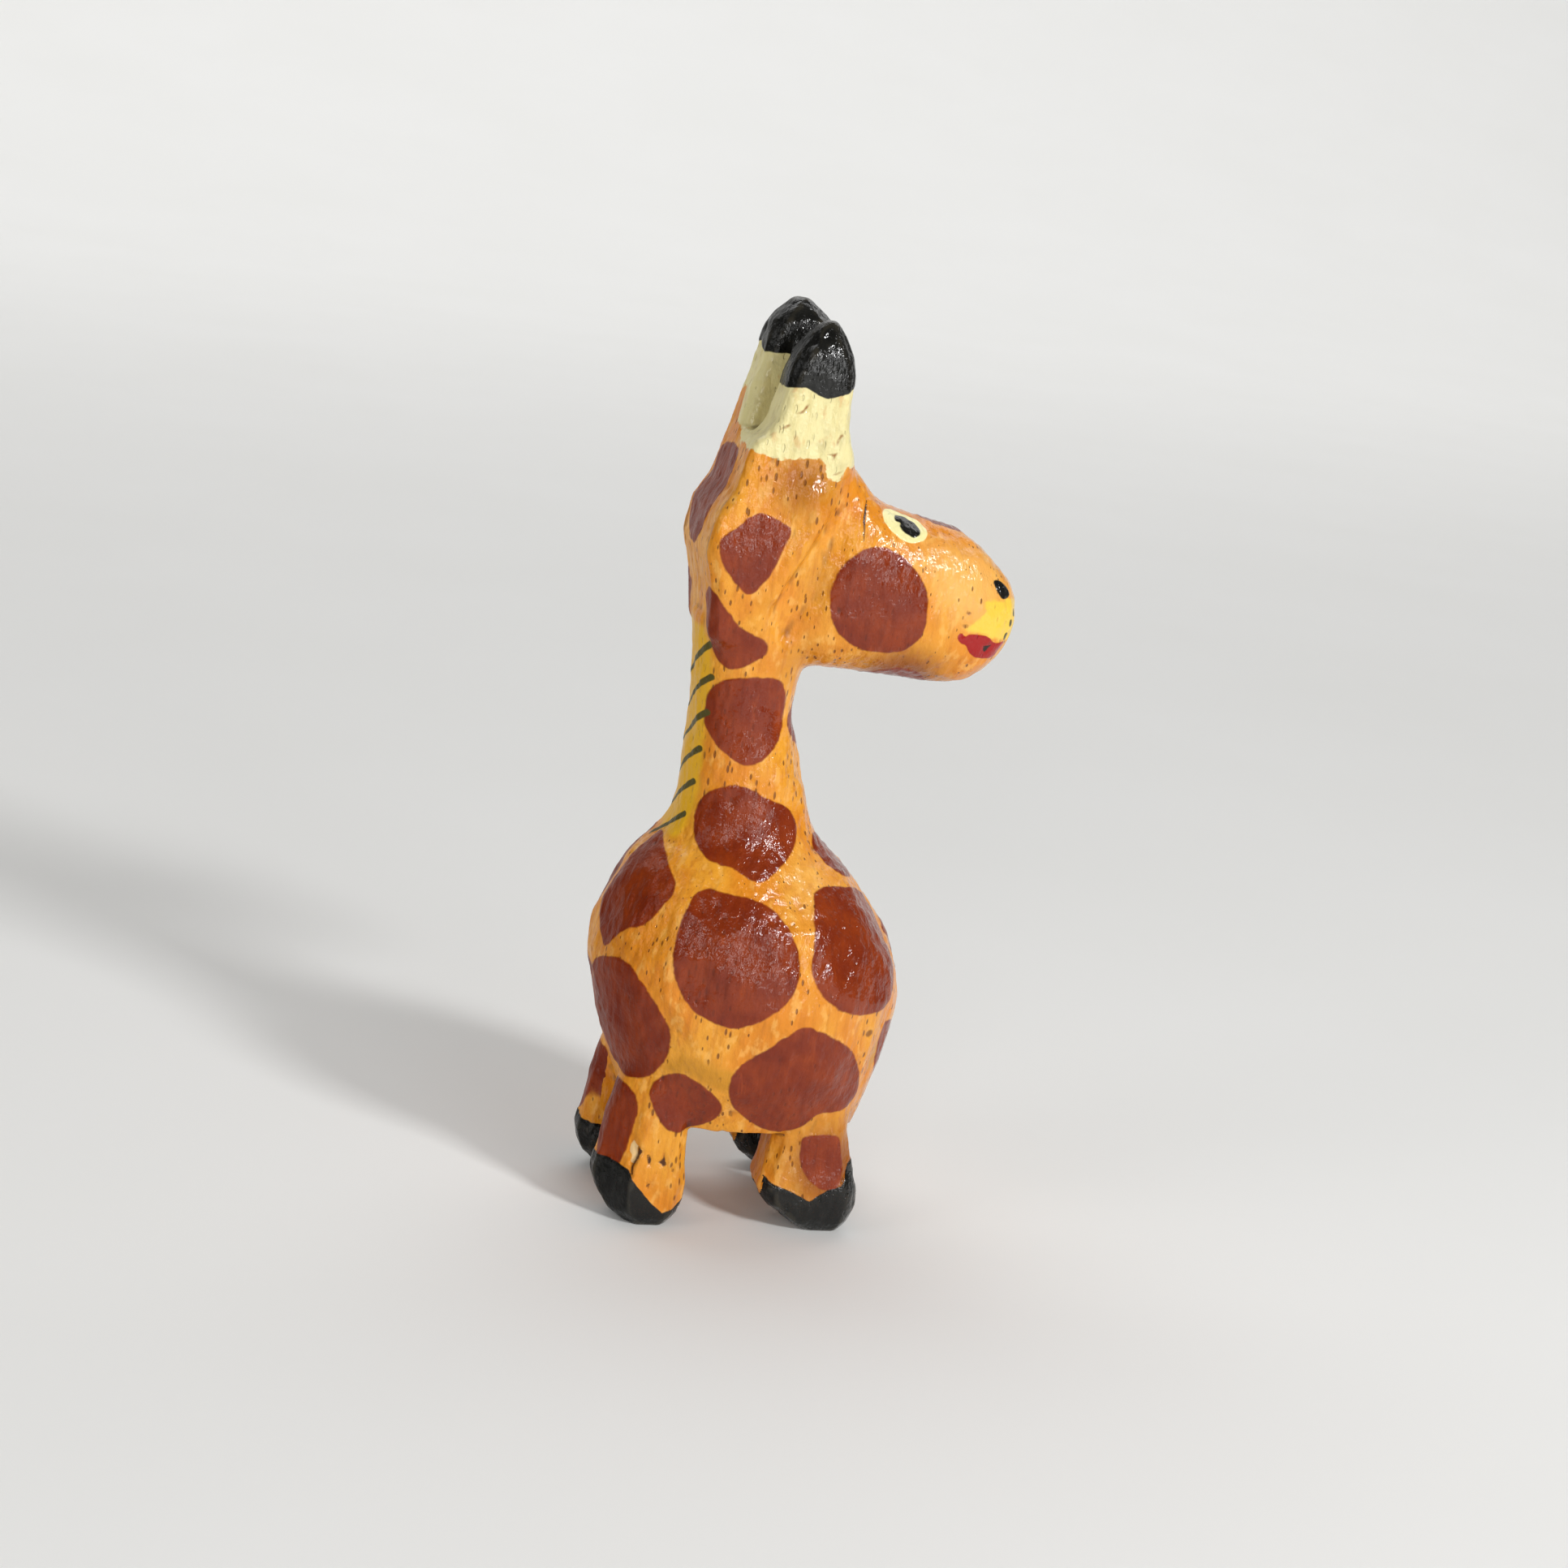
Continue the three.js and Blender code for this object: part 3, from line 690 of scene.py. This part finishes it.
PAINT_THICKNESS = {"brown": 0.035, "black": 0.07, "cream": 0.03, "eye": 0.05, "red": 0.05, "olive": 0.02}
CUT_DEPTH = {"line": 0.10, "flake": 0.12, "chip": 0.16, "scratch": 0.05}


def raise_paint(mesh, points, normals, layers):
    """Lays the thickness of each paint over the carved skin, and cuts the dark lines into it."""
    height = np.zeros(len(points))
    for name, thickness in PAINT_THICKNESS.items():
        height += thickness * (1 - rise(layers[name], -0.16, 0.10))
    for name, depth in CUT_DEPTH.items():
        height -= depth * (1 - rise(layers[name], 0.0, 0.2))
    height *= rise(points[:, 2], 0.1, 0.8)
    write_points(mesh, points + normals * height[:, None])


# ---- dividing the skin


def cut(skin, place, out):
    """Divides a closed skin at a plane into the part below and the part above, both closed again."""
    parts = []
    for keep_inner in (True, False):
        part = skin.copy()
        cap_layer = part.faces.layers.int["cap"]
        bmesh.ops.bisect_plane(
            part, geom=part.verts[:] + part.edges[:] + part.faces[:], dist=1e-6, plane_co=place, plane_no=out,
            clear_outer=keep_inner, clear_inner=not keep_inner)
        rim = [edge for edge in part.edges if edge.is_boundary]
        filled = bmesh.ops.triangle_fill(part, edges=rim, use_beauty=True)
        for face in filled["geom"]:
            if isinstance(face, bmesh.types.BMFace):
                face[cap_layer] = 1
        bmesh.ops.recalc_face_normals(part, faces=part.faces[:])
        parts.append(part)
    skin.free()
    return parts


def divide(skin):
    """All members of the giraffe, by CAD node name."""
    along, across, up = Matrix.Identity(3)
    members = {}
    feet, rest = cut(skin, (BELLY - ROOM) * up, up)
    leg_split = (node_box("hoof_rear_right")[1][0] + node_box("hoof_front_right")[0][0]) / 2
    for word, pair in zip(SIDES, cut(feet, 0 * across, across)):
        for place, leg in zip(("rear", "front"), cut(pair, leg_split * along, along)):
            hoof, shank = cut(leg, HOOF_TOP * up, up)
            members[f"hoof_{place}_{word}"] = hoof
            members[f"leg_{place}_{word}"] = shank
    members["body"], rest = cut(rest, SHOULDER * up, up)
    slope = Vector((math.sin(NECK_TOP_TILT), 0, math.cos(NECK_TOP_TILT)))
    members["neck"], rest = cut(rest, JAW_CORNER, slope)
    members["head"], horns = cut(rest, (HORN_BASE + ROOM) * up, up)
    for word, horn in zip(SIDES, cut(horns, 0 * across, across)):
        members["horn_" + word], members["horn_tip_" + word] = cut(horn, TIP_BASE[word] * up, up)
    for word, side in SIDES.items():
        members["head"], members["ear_" + word] = lift_ear(members["head"], side)
    return members


def in_ear(co, side):
    return co.y * side > EAR_FACE and EAR_LOW[2] < co.z < EAR_HIGH[2] and co.x < EAR_HIGH[0] + 0.6


def lift_ear(head, side):
    """Takes the ear, a raised plate on the side of the head, out of it. Both stay closed."""
    near = [f for f in head.faces if f.calc_center_median().y * side > EAR_FACE - 1]
    for place, out in (
            ((0, 0, EAR_LOW[2]), (0, 0, 1)), ((0, 0, EAR_HIGH[2]), (0, 0, 1)),
            ((EAR_HIGH[0] + 0.6, 0, 0), (1, 0, 0)), ((0, side * EAR_FACE, 0), (0, 1, 0))):
        around = [v for f in near for v in f.verts] + [e for f in near for e in f.edges]
        geometry = list(dict.fromkeys(around)) + near
        bmesh.ops.bisect_plane(head, geom=geometry, dist=1e-6, plane_co=place, plane_no=out)
        near = [f for f in head.faces if f.calc_center_median().y * side > EAR_FACE - 1]
    ear = head.copy()
    for part, is_ear in ((head, False), (ear, True)):
        away = [f for f in part.faces if in_ear(f.calc_center_median(), side) != is_ear]
        bmesh.ops.delete(part, geom=away, context="FACES")
        close_recess(part, side)
    return head, ear


def close_recess(part, side):
    """Closes the open rim round an ear with straight walls and a flat floor just under the cheek."""
    cap_layer = part.faces.layers.int["cap"]
    rim = [edge for edge in part.edges if edge.is_boundary]
    walls = bmesh.ops.extrude_edge_only(part, edges=rim)["geom"]
    floor_verts = [g for g in walls if isinstance(g, bmesh.types.BMVert)]
    for vert in floor_verts:
        vert.co.y = side * (EAR_FACE - 0.15)
    floor_rim = [edge for edge in part.edges if edge.is_boundary]
    filled = bmesh.ops.triangle_fill(part, edges=floor_rim, use_beauty=True)["geom"]
    for face in [g for g in walls + filled if isinstance(g, bmesh.types.BMFace)]:
        face[cap_layer] = 1
    bmesh.ops.recalc_face_normals(part, faces=part.faces[:])


# ---- materials


def linear(red, green, blue):
    """A colour given as 0 to 255 display values, as a linear RGBA."""
    values = [v / 255 for v in (red, green, blue)]
    return [v / 12.92 if v <= 0.04045 else ((v + 0.055) / 1.055) ** 2.4 for v in values] + [1.0]


class Nodes:
    """Short ways to build one material's node tree."""

    def __init__(self, name):
        self.material = bpy.data.materials.new(name)
        self.material.use_nodes = True
        self.tree = self.material.node_tree
        self.shader = self.tree.nodes["Principled BSDF"]
        place = self.tree.nodes.new("ShaderNodeTexCoord")
        self.millimetres = self.scaled(place.outputs["Object"], (1 / MM, 1 / MM, 1 / MM))

    def link(self, value, socket):
        """Puts a value or another node's output into a socket."""
        if isinstance(value, bpy.types.NodeSocket):
            self.tree.links.new(value, socket)
        else:
            socket.default_value = value

    def add(self, kind, **inputs):
        """A new node with some inputs filled in; an underscore in an input's name stands for a space."""
        node = self.tree.nodes.new("ShaderNode" + kind)
        for name, value in inputs.items():
            self.link(value, node.inputs[name.replace("_", " ")])
        return node

    def scaled(self, vector, scale):
        return self.add("Mapping", Vector=vector, Scale=scale).outputs["Vector"]

    def noise(self, size, stretch=(1, 1, 1), detail=3.0, rough=0.55, distortion=0.0):
        """Noise whose patches are about `size` millimetres, longer along the stretched directions."""
        place = self.scaled(self.millimetres, [1 / s for s in stretch])
        node = self.add("TexNoise", Vector=place, Scale=1 / size, Detail=detail, Roughness=rough,
                        Distortion=distortion)
        return node.outputs["Fac"]

    def cell_distance(self, size, stretch=(1, 1, 1)):
        """Distance, in cells, to the nearest of many scattered points."""
        place = self.scaled(self.millimetres, [1 / s for s in stretch])
        return self.add("TexVoronoi", Vector=place, Scale=1 / size, Randomness=1.0).outputs["Distance"]

    def attribute(self, name):
        node = self.add("Attribute")
        node.attribute_name = name
        return node.outputs["Fac"]

    def maths(self, operation, first, second):
        node = self.add("Math")
        node.operation = operation
        self.link(first, node.inputs[0])
        self.link(second, node.inputs[1])
        return node.outputs[0]

    def ramp(self, value, low, high, start=0.0, end=1.0):
        """A smooth step of the value from start, at low, to end, at high."""
        node = self.add("MapRange", Value=value, From_Min=low, From_Max=high, To_Min=start, To_Max=end)
        node.interpolation_type = "SMOOTHSTEP"
        return node.outputs["Result"]

    def mix(self, share, first, second, blend="MIX"):
        node = self.add("Mix")
        node.data_type = "RGBA"
        node.blend_type = blend
        for socket, value in (("Factor", share), ("A", first), ("B", second)):
            self.link(value, node.inputs[socket])
        return node.outputs["Result"]

    def bump(self, height, millimetres):
        return self.add("Bump", Distance=millimetres * MM, Height=height)


def grain_streaks(n):
    """Long pale and dark streaks that run up the block."""
    return n.noise(0.55, stretch=(1, 1, 11), detail=4, rough=0.6, distortion=0.3)


def grain_pores(n):
    """Open pores of the wood: short upright dashes, crowded in some places and missing in others."""
    crowding = n.ramp(n.noise(4.5, stretch=(1, 1, 1.4), detail=1), 0.36, 0.64)
    limit = n.maths("ADD", n.maths("MULTIPLY", crowding, 0.17), 0.08)
    share = n.maths("DIVIDE", n.cell_distance(0.44, stretch=(1, 1, 3.0)), limit)
    return n.ramp(share, 0.6, 1.2, 1.0, 0.0)


def covered(n, name, wander, wander_size, soft):
    """How far a kind of paint covers the wood here, with an edge that wanders a little."""
    stray = n.maths("SUBTRACT", n.noise(wander_size, detail=2), 0.5)
    edge = n.maths("ADD", n.attribute(name), n.maths("MULTIPLY", stray, wander * 2))
    return n.ramp(edge, -soft, soft, 1.0, 0.0)


def orange_wash(n, streaks, pores):
    """Thin orange paint that lets the grain of the wood through, with painted shade and painted light in it.
    """
    golden = n.ramp(n.noise(5.0, stretch=(1, 1, 1.5), detail=2), 0.36, 0.64)
    colour = n.mix(golden, linear(226, 138, 30), linear(234, 160, 46))
    colour = n.mix(n.ramp(streaks, 0.46, 0.72, 0.0, 0.5), colour, linear(192, 108, 14))
    flecks = n.noise(0.8, stretch=(1, 1, 2), detail=3)
    colour = n.mix(n.ramp(flecks, 0.52, 0.68, 0.0, 0.5), colour, linear(250, 190, 96))
    colour = n.mix(n.ramp(flecks, 0.30, 0.44, 0.45, 0.0), colour, linear(206, 118, 16))
    # Painted shade makes the orange darker where that attribute is above 0; painted light makes it paler
    # where it is below 0.
    colour = n.mix(n.ramp(n.attribute("tone_light_and_shade"), 0.05, 1.2, 0.0, 0.95), colour, linear(140, 70, 6))
    colour = n.mix(n.ramp(n.attribute("tone_light_and_shade"), -0.9, -0.05, 0.6, 0.0), colour, linear(252, 196, 112))
    return n.mix(n.maths("MULTIPLY", pores, 0.8), colour, linear(120, 64, 12))


def brown_stain(n, streaks, pores):
    """Dark reddish brown of the spots, thinner in places."""
    colour = n.mix(n.ramp(n.noise(2.4, detail=3), 0.3, 0.7), linear(142, 52, 5), linear(122, 37, 2))
    colour = n.mix(n.ramp(streaks, 0.46, 0.75, 0.0, 0.5), colour, linear(106, 30, 2))
    colour = n.mix(n.ramp(streaks, 0.26, 0.42, 0.4, 0.0), colour, linear(166, 68, 12))
    return n.mix(n.maths("MULTIPLY", pores, 0.25), colour, linear(64, 22, 6))


def worn_cream(n, streaks):
    """Cream paint of the horns, brushed thin so that some grain and orange shows."""
    colour = n.mix(n.ramp(streaks, 0.45, 0.7, 0.0, 0.5), linear(236, 224, 164), linear(220, 202, 134))
    colour = n.mix(n.ramp(n.noise(1.6, detail=3), 0.50, 0.72, 0.0, 0.6), colour, linear(206, 192, 138))
    return n.mix(n.ramp(n.noise(0.9, stretch=(1, 1, 2)), 0.62, 0.74, 0.0, 0.5), colour, linear(216, 168, 106))


def black_enamel(n, ridge):
    """Glossy black, rubbed to a brown grey along the knife's ridges."""
    colour = n.mix(n.ramp(n.noise(1.4, detail=3), 0.35, 0.7), linear(14, 14, 12), linear(24, 24, 21))
    return n.mix(n.ramp(ridge, 0.45, 1.0, 0.0, 0.25), colour, linear(86, 80, 66))


def painted_wood():
    """The one finish that runs over the whole block: wood, thin paints over it with painted light and shade,
    and a glossy varnish.
    """
    n = Nodes("painted_wood")
    streaks, pores, ridge = grain_streaks(n), grain_pores(n), n.attribute("ridge")
    brown = covered(n, "brown", 0.16, 0.9, 0.09)
    black = covered(n, "black", 0.10, 0.7, 0.06)
    cream = covered(n, "cream", 0.30, 0.6, 0.07)
    paints = [
        # painted shade: darker olive orange low on the body's side
        (covered(n, "painted_shade", 0.35, 0.9, 0.50), linear(206, 140, 30)),
        (covered(n, "mane", 0.45, 1.6, 0.35), linear(236, 178, 34)),
        (covered(n, "yellow", 0.35, 0.6, 0.18), linear(246, 202, 72)),
        (brown, brown_stain(n, streaks, pores)),
        (covered(n, "olive", 0.03, 0.5, 0.05), linear(84, 76, 26)),
        (cream, worn_cream(n, streaks)),
        (covered(n, "eye", 0.06, 0.6, 0.05), linear(246, 238, 172)),
        (covered(n, "red", 0.05, 0.5, 0.05), linear(162, 8, 6)),
        (black, black_enamel(n, ridge)),
        (covered(n, "scratch", 0.06, 0.4, 0.10), linear(150, 94, 26)),
        (covered(n, "flake", 0.04, 0.4, 0.04), linear(240, 202, 142)),
        (covered(n, "chip", 0.05, 0.3, 0.06), linear(84, 44, 10)),
        (covered(n, "line", 0.02, 0.4, 0.05), linear(40, 20, 12)),
    ]
    colour = orange_wash(n, streaks, pores)
    for cover, paint in paints:
        colour = n.mix(cover, colour, paint)
    # Painted shade: the colour is darkened in the hollows of the carving.
    colour = n.mix(n.ramp(ridge, -1.0, -0.3, 0.55, 0.0), colour, linear(70, 36, 14), blend="MULTIPLY")
    n.link(colour, n.shader.inputs["Base Color"])
    rough = n.ramp(n.noise(1.3, detail=3), 0.3, 0.7, 0.30, 0.48)
    rough = n.maths("SUBTRACT", rough, n.maths("MULTIPLY", black, 0.12))
    n.link(rough, n.shader.inputs["Roughness"])
    fine = n.noise(0.24, stretch=(1, 1, 2.5), detail=3)
    open_pores = n.maths("MULTIPLY", pores, n.ramp(brown, 0.0, 1.0, 1.0, 0.25))
    grain = n.bump(n.maths("SUBTRACT", n.maths("MULTIPLY", fine, 0.8), open_pores), 0.07)
    relief = n.bump(n.noise(0.6, detail=2), 0.09)
    n.link(grain.outputs["Normal"], relief.inputs["Normal"])
    n.link(relief.outputs["Normal"], n.shader.inputs["Normal"])
    n.link(relief.outputs["Normal"], n.shader.inputs["Coat Normal"])
    n.link(n.maths("MULTIPLY", n.attribute("shine"), 0.85), n.shader.inputs["Coat Weight"])
    n.shader.inputs["Coat Roughness"].default_value = 0.06
    n.shader.inputs["Coat IOR"].default_value = 1.47
    n.shader.inputs["Specular IOR Level"].default_value = 0.08
    return n.material


def bare_wood():
    """The plain wood inside, seen only where a member is taken off its neighbour."""
    n = Nodes("bare_wood")
    rings = n.noise(0.8, stretch=(1, 6, 6), detail=3)
    n.link(n.mix(rings, linear(222, 190, 140), linear(196, 156, 104)), n.shader.inputs["Base Color"])
    n.link(n.ramp(rings, 0.3, 0.7, 0.6, 0.75), n.shader.inputs["Roughness"])
    n.link(n.bump(rings, 0.03).outputs["Normal"], n.shader.inputs["Normal"])
    return n.material


# ---- pieces


def piece_from(name, part, materials):
    """A mesh object, in metres, from one member in millimetres."""
    mesh = bpy.data.meshes.new(name)
    cap_layer = part.faces.layers.int["cap"]
    for face in part.faces:
        face.smooth = True
        face.material_index = face[cap_layer]
    bmesh.ops.triangulate(part, faces=[f for f in part.faces if len(f.verts) > 4])
    part.to_mesh(mesh)
    part.free()
    set_normals(mesh)
    mesh.transform(Matrix.Scale(MM, 4))
    for material in materials:
        mesh.materials.append(material)
    piece = bpy.data.objects.new(name, mesh)
    bpy.context.scene.collection.objects.link(piece)
    return piece


def set_normals(mesh):
    """Shades the skin by the uncut block's normals, so that no seam shows, and the caps flat."""
    skin = read(mesh.attributes["skin_normal"].data, "vector", 3)
    normals = skin[read(mesh.loops, "vertex_index", kind=np.int32)].astype(float)
    counts = read(mesh.polygons, "loop_total", kind=np.int32)
    capped = np.repeat(read(mesh.polygons, "material_index", kind=np.int32), counts) == 1
    normals[capped] = np.repeat(read(mesh.polygons, "normal", 3), counts, axis=0)[capped]
    normals /= np.maximum(np.linalg.norm(normals, axis=1), 1e-9)[:, None]
    mesh.normals_split_custom_set(normals.tolist())
    mesh.attributes.remove(mesh.attributes["skin_normal"])


def keep_on_mesh(mesh, name, values):
    """Stores a number, or a direction, for every vertex."""
    kind, field = ("FLOAT", "value") if values.ndim == 1 else ("FLOAT_VECTOR", "vector")
    attribute = mesh.attributes.new(name, kind, "POINT")
    attribute.data.foreach_set(field, values.astype(np.float32).ravel())


def ridges(points, edges, normals):
    """How sharply the surface is raised, above 0, or hollowed, below 0."""
    ridge = ((points - neighbour_mean(points, edges)) * normals).sum(1)
    for _ in range(6):
        spread = neighbour_mean(np.repeat(ridge[:, None], 3, 1), edges)[:, 0]
        ridge = (ridge + spread) / 2
    return np.clip(ridge / (0.06 * SKIN), -1, 1)


def make_giraffe():
    """Builds the carved, painted skin, divides it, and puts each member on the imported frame."""
    mesh = fine_skin(joined_members())
    points, normals, edges = carve(mesh)
    layers = paint_layers(points, normals)
    ridge = ridges(points, edges, normals)
    raise_paint(mesh, points, normals, layers)
    for name, values in {**layers, "ridge": ridge, "skin_normal": read_normals(mesh)}.items():
        keep_on_mesh(mesh, name, values)
    skin = bmesh.new()
    skin.from_mesh(mesh)
    skin.faces.layers.int.new("cap")
    materials = [painted_wood(), bare_wood()]
    for name, part in divide(skin).items():
        piece = piece_from(name + "_carved", part, materials)
        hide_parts(name)
        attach(piece, "root")


# ---- camera, floor and light


def aim(thing, place, target, roll=0.0):
    """Puts a camera or lamp at a place, turned to face the target."""
    back = (Vector(place) - Vector(target)).normalized()
    right = Vector((0, 0, 1)).cross(back).normalized()
    up = back.cross(right)
    turned_right = right * math.cos(roll) + up * math.sin(roll)
    turned_up = up * math.cos(roll) - right * math.sin(roll)
    turn = Matrix((turned_right, turned_up, back)).transposed().to_4x4()
    thing.matrix_world = Matrix.Translation(place) @ turn


def make_camera():
    """A portrait lens a little behind the giraffe's right side, looking slightly down."""
    azimuth, elevation, roll = math.radians(-14), math.radians(14), math.radians(7.5)
    target = Vector((-1.29, -0.40, 33.66)) * MM
    back = Vector((math.sin(azimuth) * math.cos(elevation), -math.cos(azimuth) * math.cos(elevation),
                   math.sin(elevation)))
    camera = bpy.data.objects.new("camera", bpy.data.cameras.new("camera"))
    camera.data.sensor_width = 36
    camera.data.lens = 66.25
    camera.data.clip_start = 0.01
    camera.data.clip_end = 20
    bpy.context.scene.collection.objects.link(camera)
    aim(camera, target + back * 220 * MM, target, roll)
    bpy.context.scene.camera = camera


def make_softbox(name, target, direction, distance, size, energy):
    """A rectangular lamp that faces the target from a direction."""
    lamp = bpy.data.objects.new(name, bpy.data.lights.new(name, "AREA"))
    lamp.data.shape = "RECTANGLE"
    lamp.data.size, lamp.data.size_y = size
    lamp.data.energy = energy
    lamp.visible_camera = False
    bpy.context.scene.collection.objects.link(lamp)
    aim(lamp, target + Vector(direction).normalized() * distance, target)


def make_floor():
    """A wide pale sheet that lies flat and sweeps up far behind the giraffe."""
    flat_end, sweep, half_width, top = 0.7, 1.0, 4.0, 3.0
    line = [(-6.0, 0.0)]
    for step in range(25):
        turn = math.radians(90) * step / 24
        line.append((flat_end + sweep * math.sin(turn), sweep - sweep * math.cos(turn)))
    line.append((flat_end + sweep, top))
    sheet = bmesh.new()
    rows = [[sheet.verts.new((x, y, z)) for x in (-half_width, half_width)] for y, z in line]
    for (a, b), (c, d) in zip(rows, rows[1:]):
        sheet.faces.new((a, b, d, c)).smooth = True
    mesh = bpy.data.meshes.new("floor")
    sheet.to_mesh(mesh)
    sheet.free()
    n = Nodes("floor")
    colour = n.mix(n.noise(60, detail=2), linear(236, 236, 234), linear(240, 240, 239))
    n.link(colour, n.shader.inputs["Base Color"])
    n.shader.inputs["Roughness"].default_value = 0.9
    mesh.materials.append(n.material)
    floor = bpy.data.objects.new("floor", mesh)
    floor.location.z = cad_bounds[0].z
    bpy.context.scene.collection.objects.link(floor)


def make_light():
    """A small key lamp at the front right, three soft fills, and a wide lamp over the sheet behind."""
    centre = Vector((0, 0, (cad_bounds[0].z + cad_bounds[1].z) / 2))
    make_softbox("key", centre, (0.50, -0.70, 0.50), 0.50, (0.08, 0.08), 1.45)
    make_softbox("front", centre, (0.30, -0.92, 0.16), 0.60, (0.18, 0.20), 0.55)
    make_softbox("fill", centre, (-0.34, -0.90, 0.30), 0.60, (0.16, 0.18), 0.46)
    make_softbox("side", centre, (-0.85, -0.35, 0.40), 0.60, (0.20, 0.30), 0.35)
    make_softbox("backdrop", Vector((0, 0.95, 0)), (0, -0.1, 1), 0.95, (2.6, 0.9), 14.0)
    world = bpy.data.worlds.new("studio")
    world.use_nodes = True
    world.node_tree.nodes["Background"].inputs["Color"].default_value = (1.0, 0.97, 0.92, 1)
    world.node_tree.nodes["Background"].inputs["Strength"].default_value = 0.13
    bpy.context.scene.world = world
    bpy.context.scene.view_settings.view_transform = "Standard"


make_camera()
make_giraffe()
make_floor()
make_light()
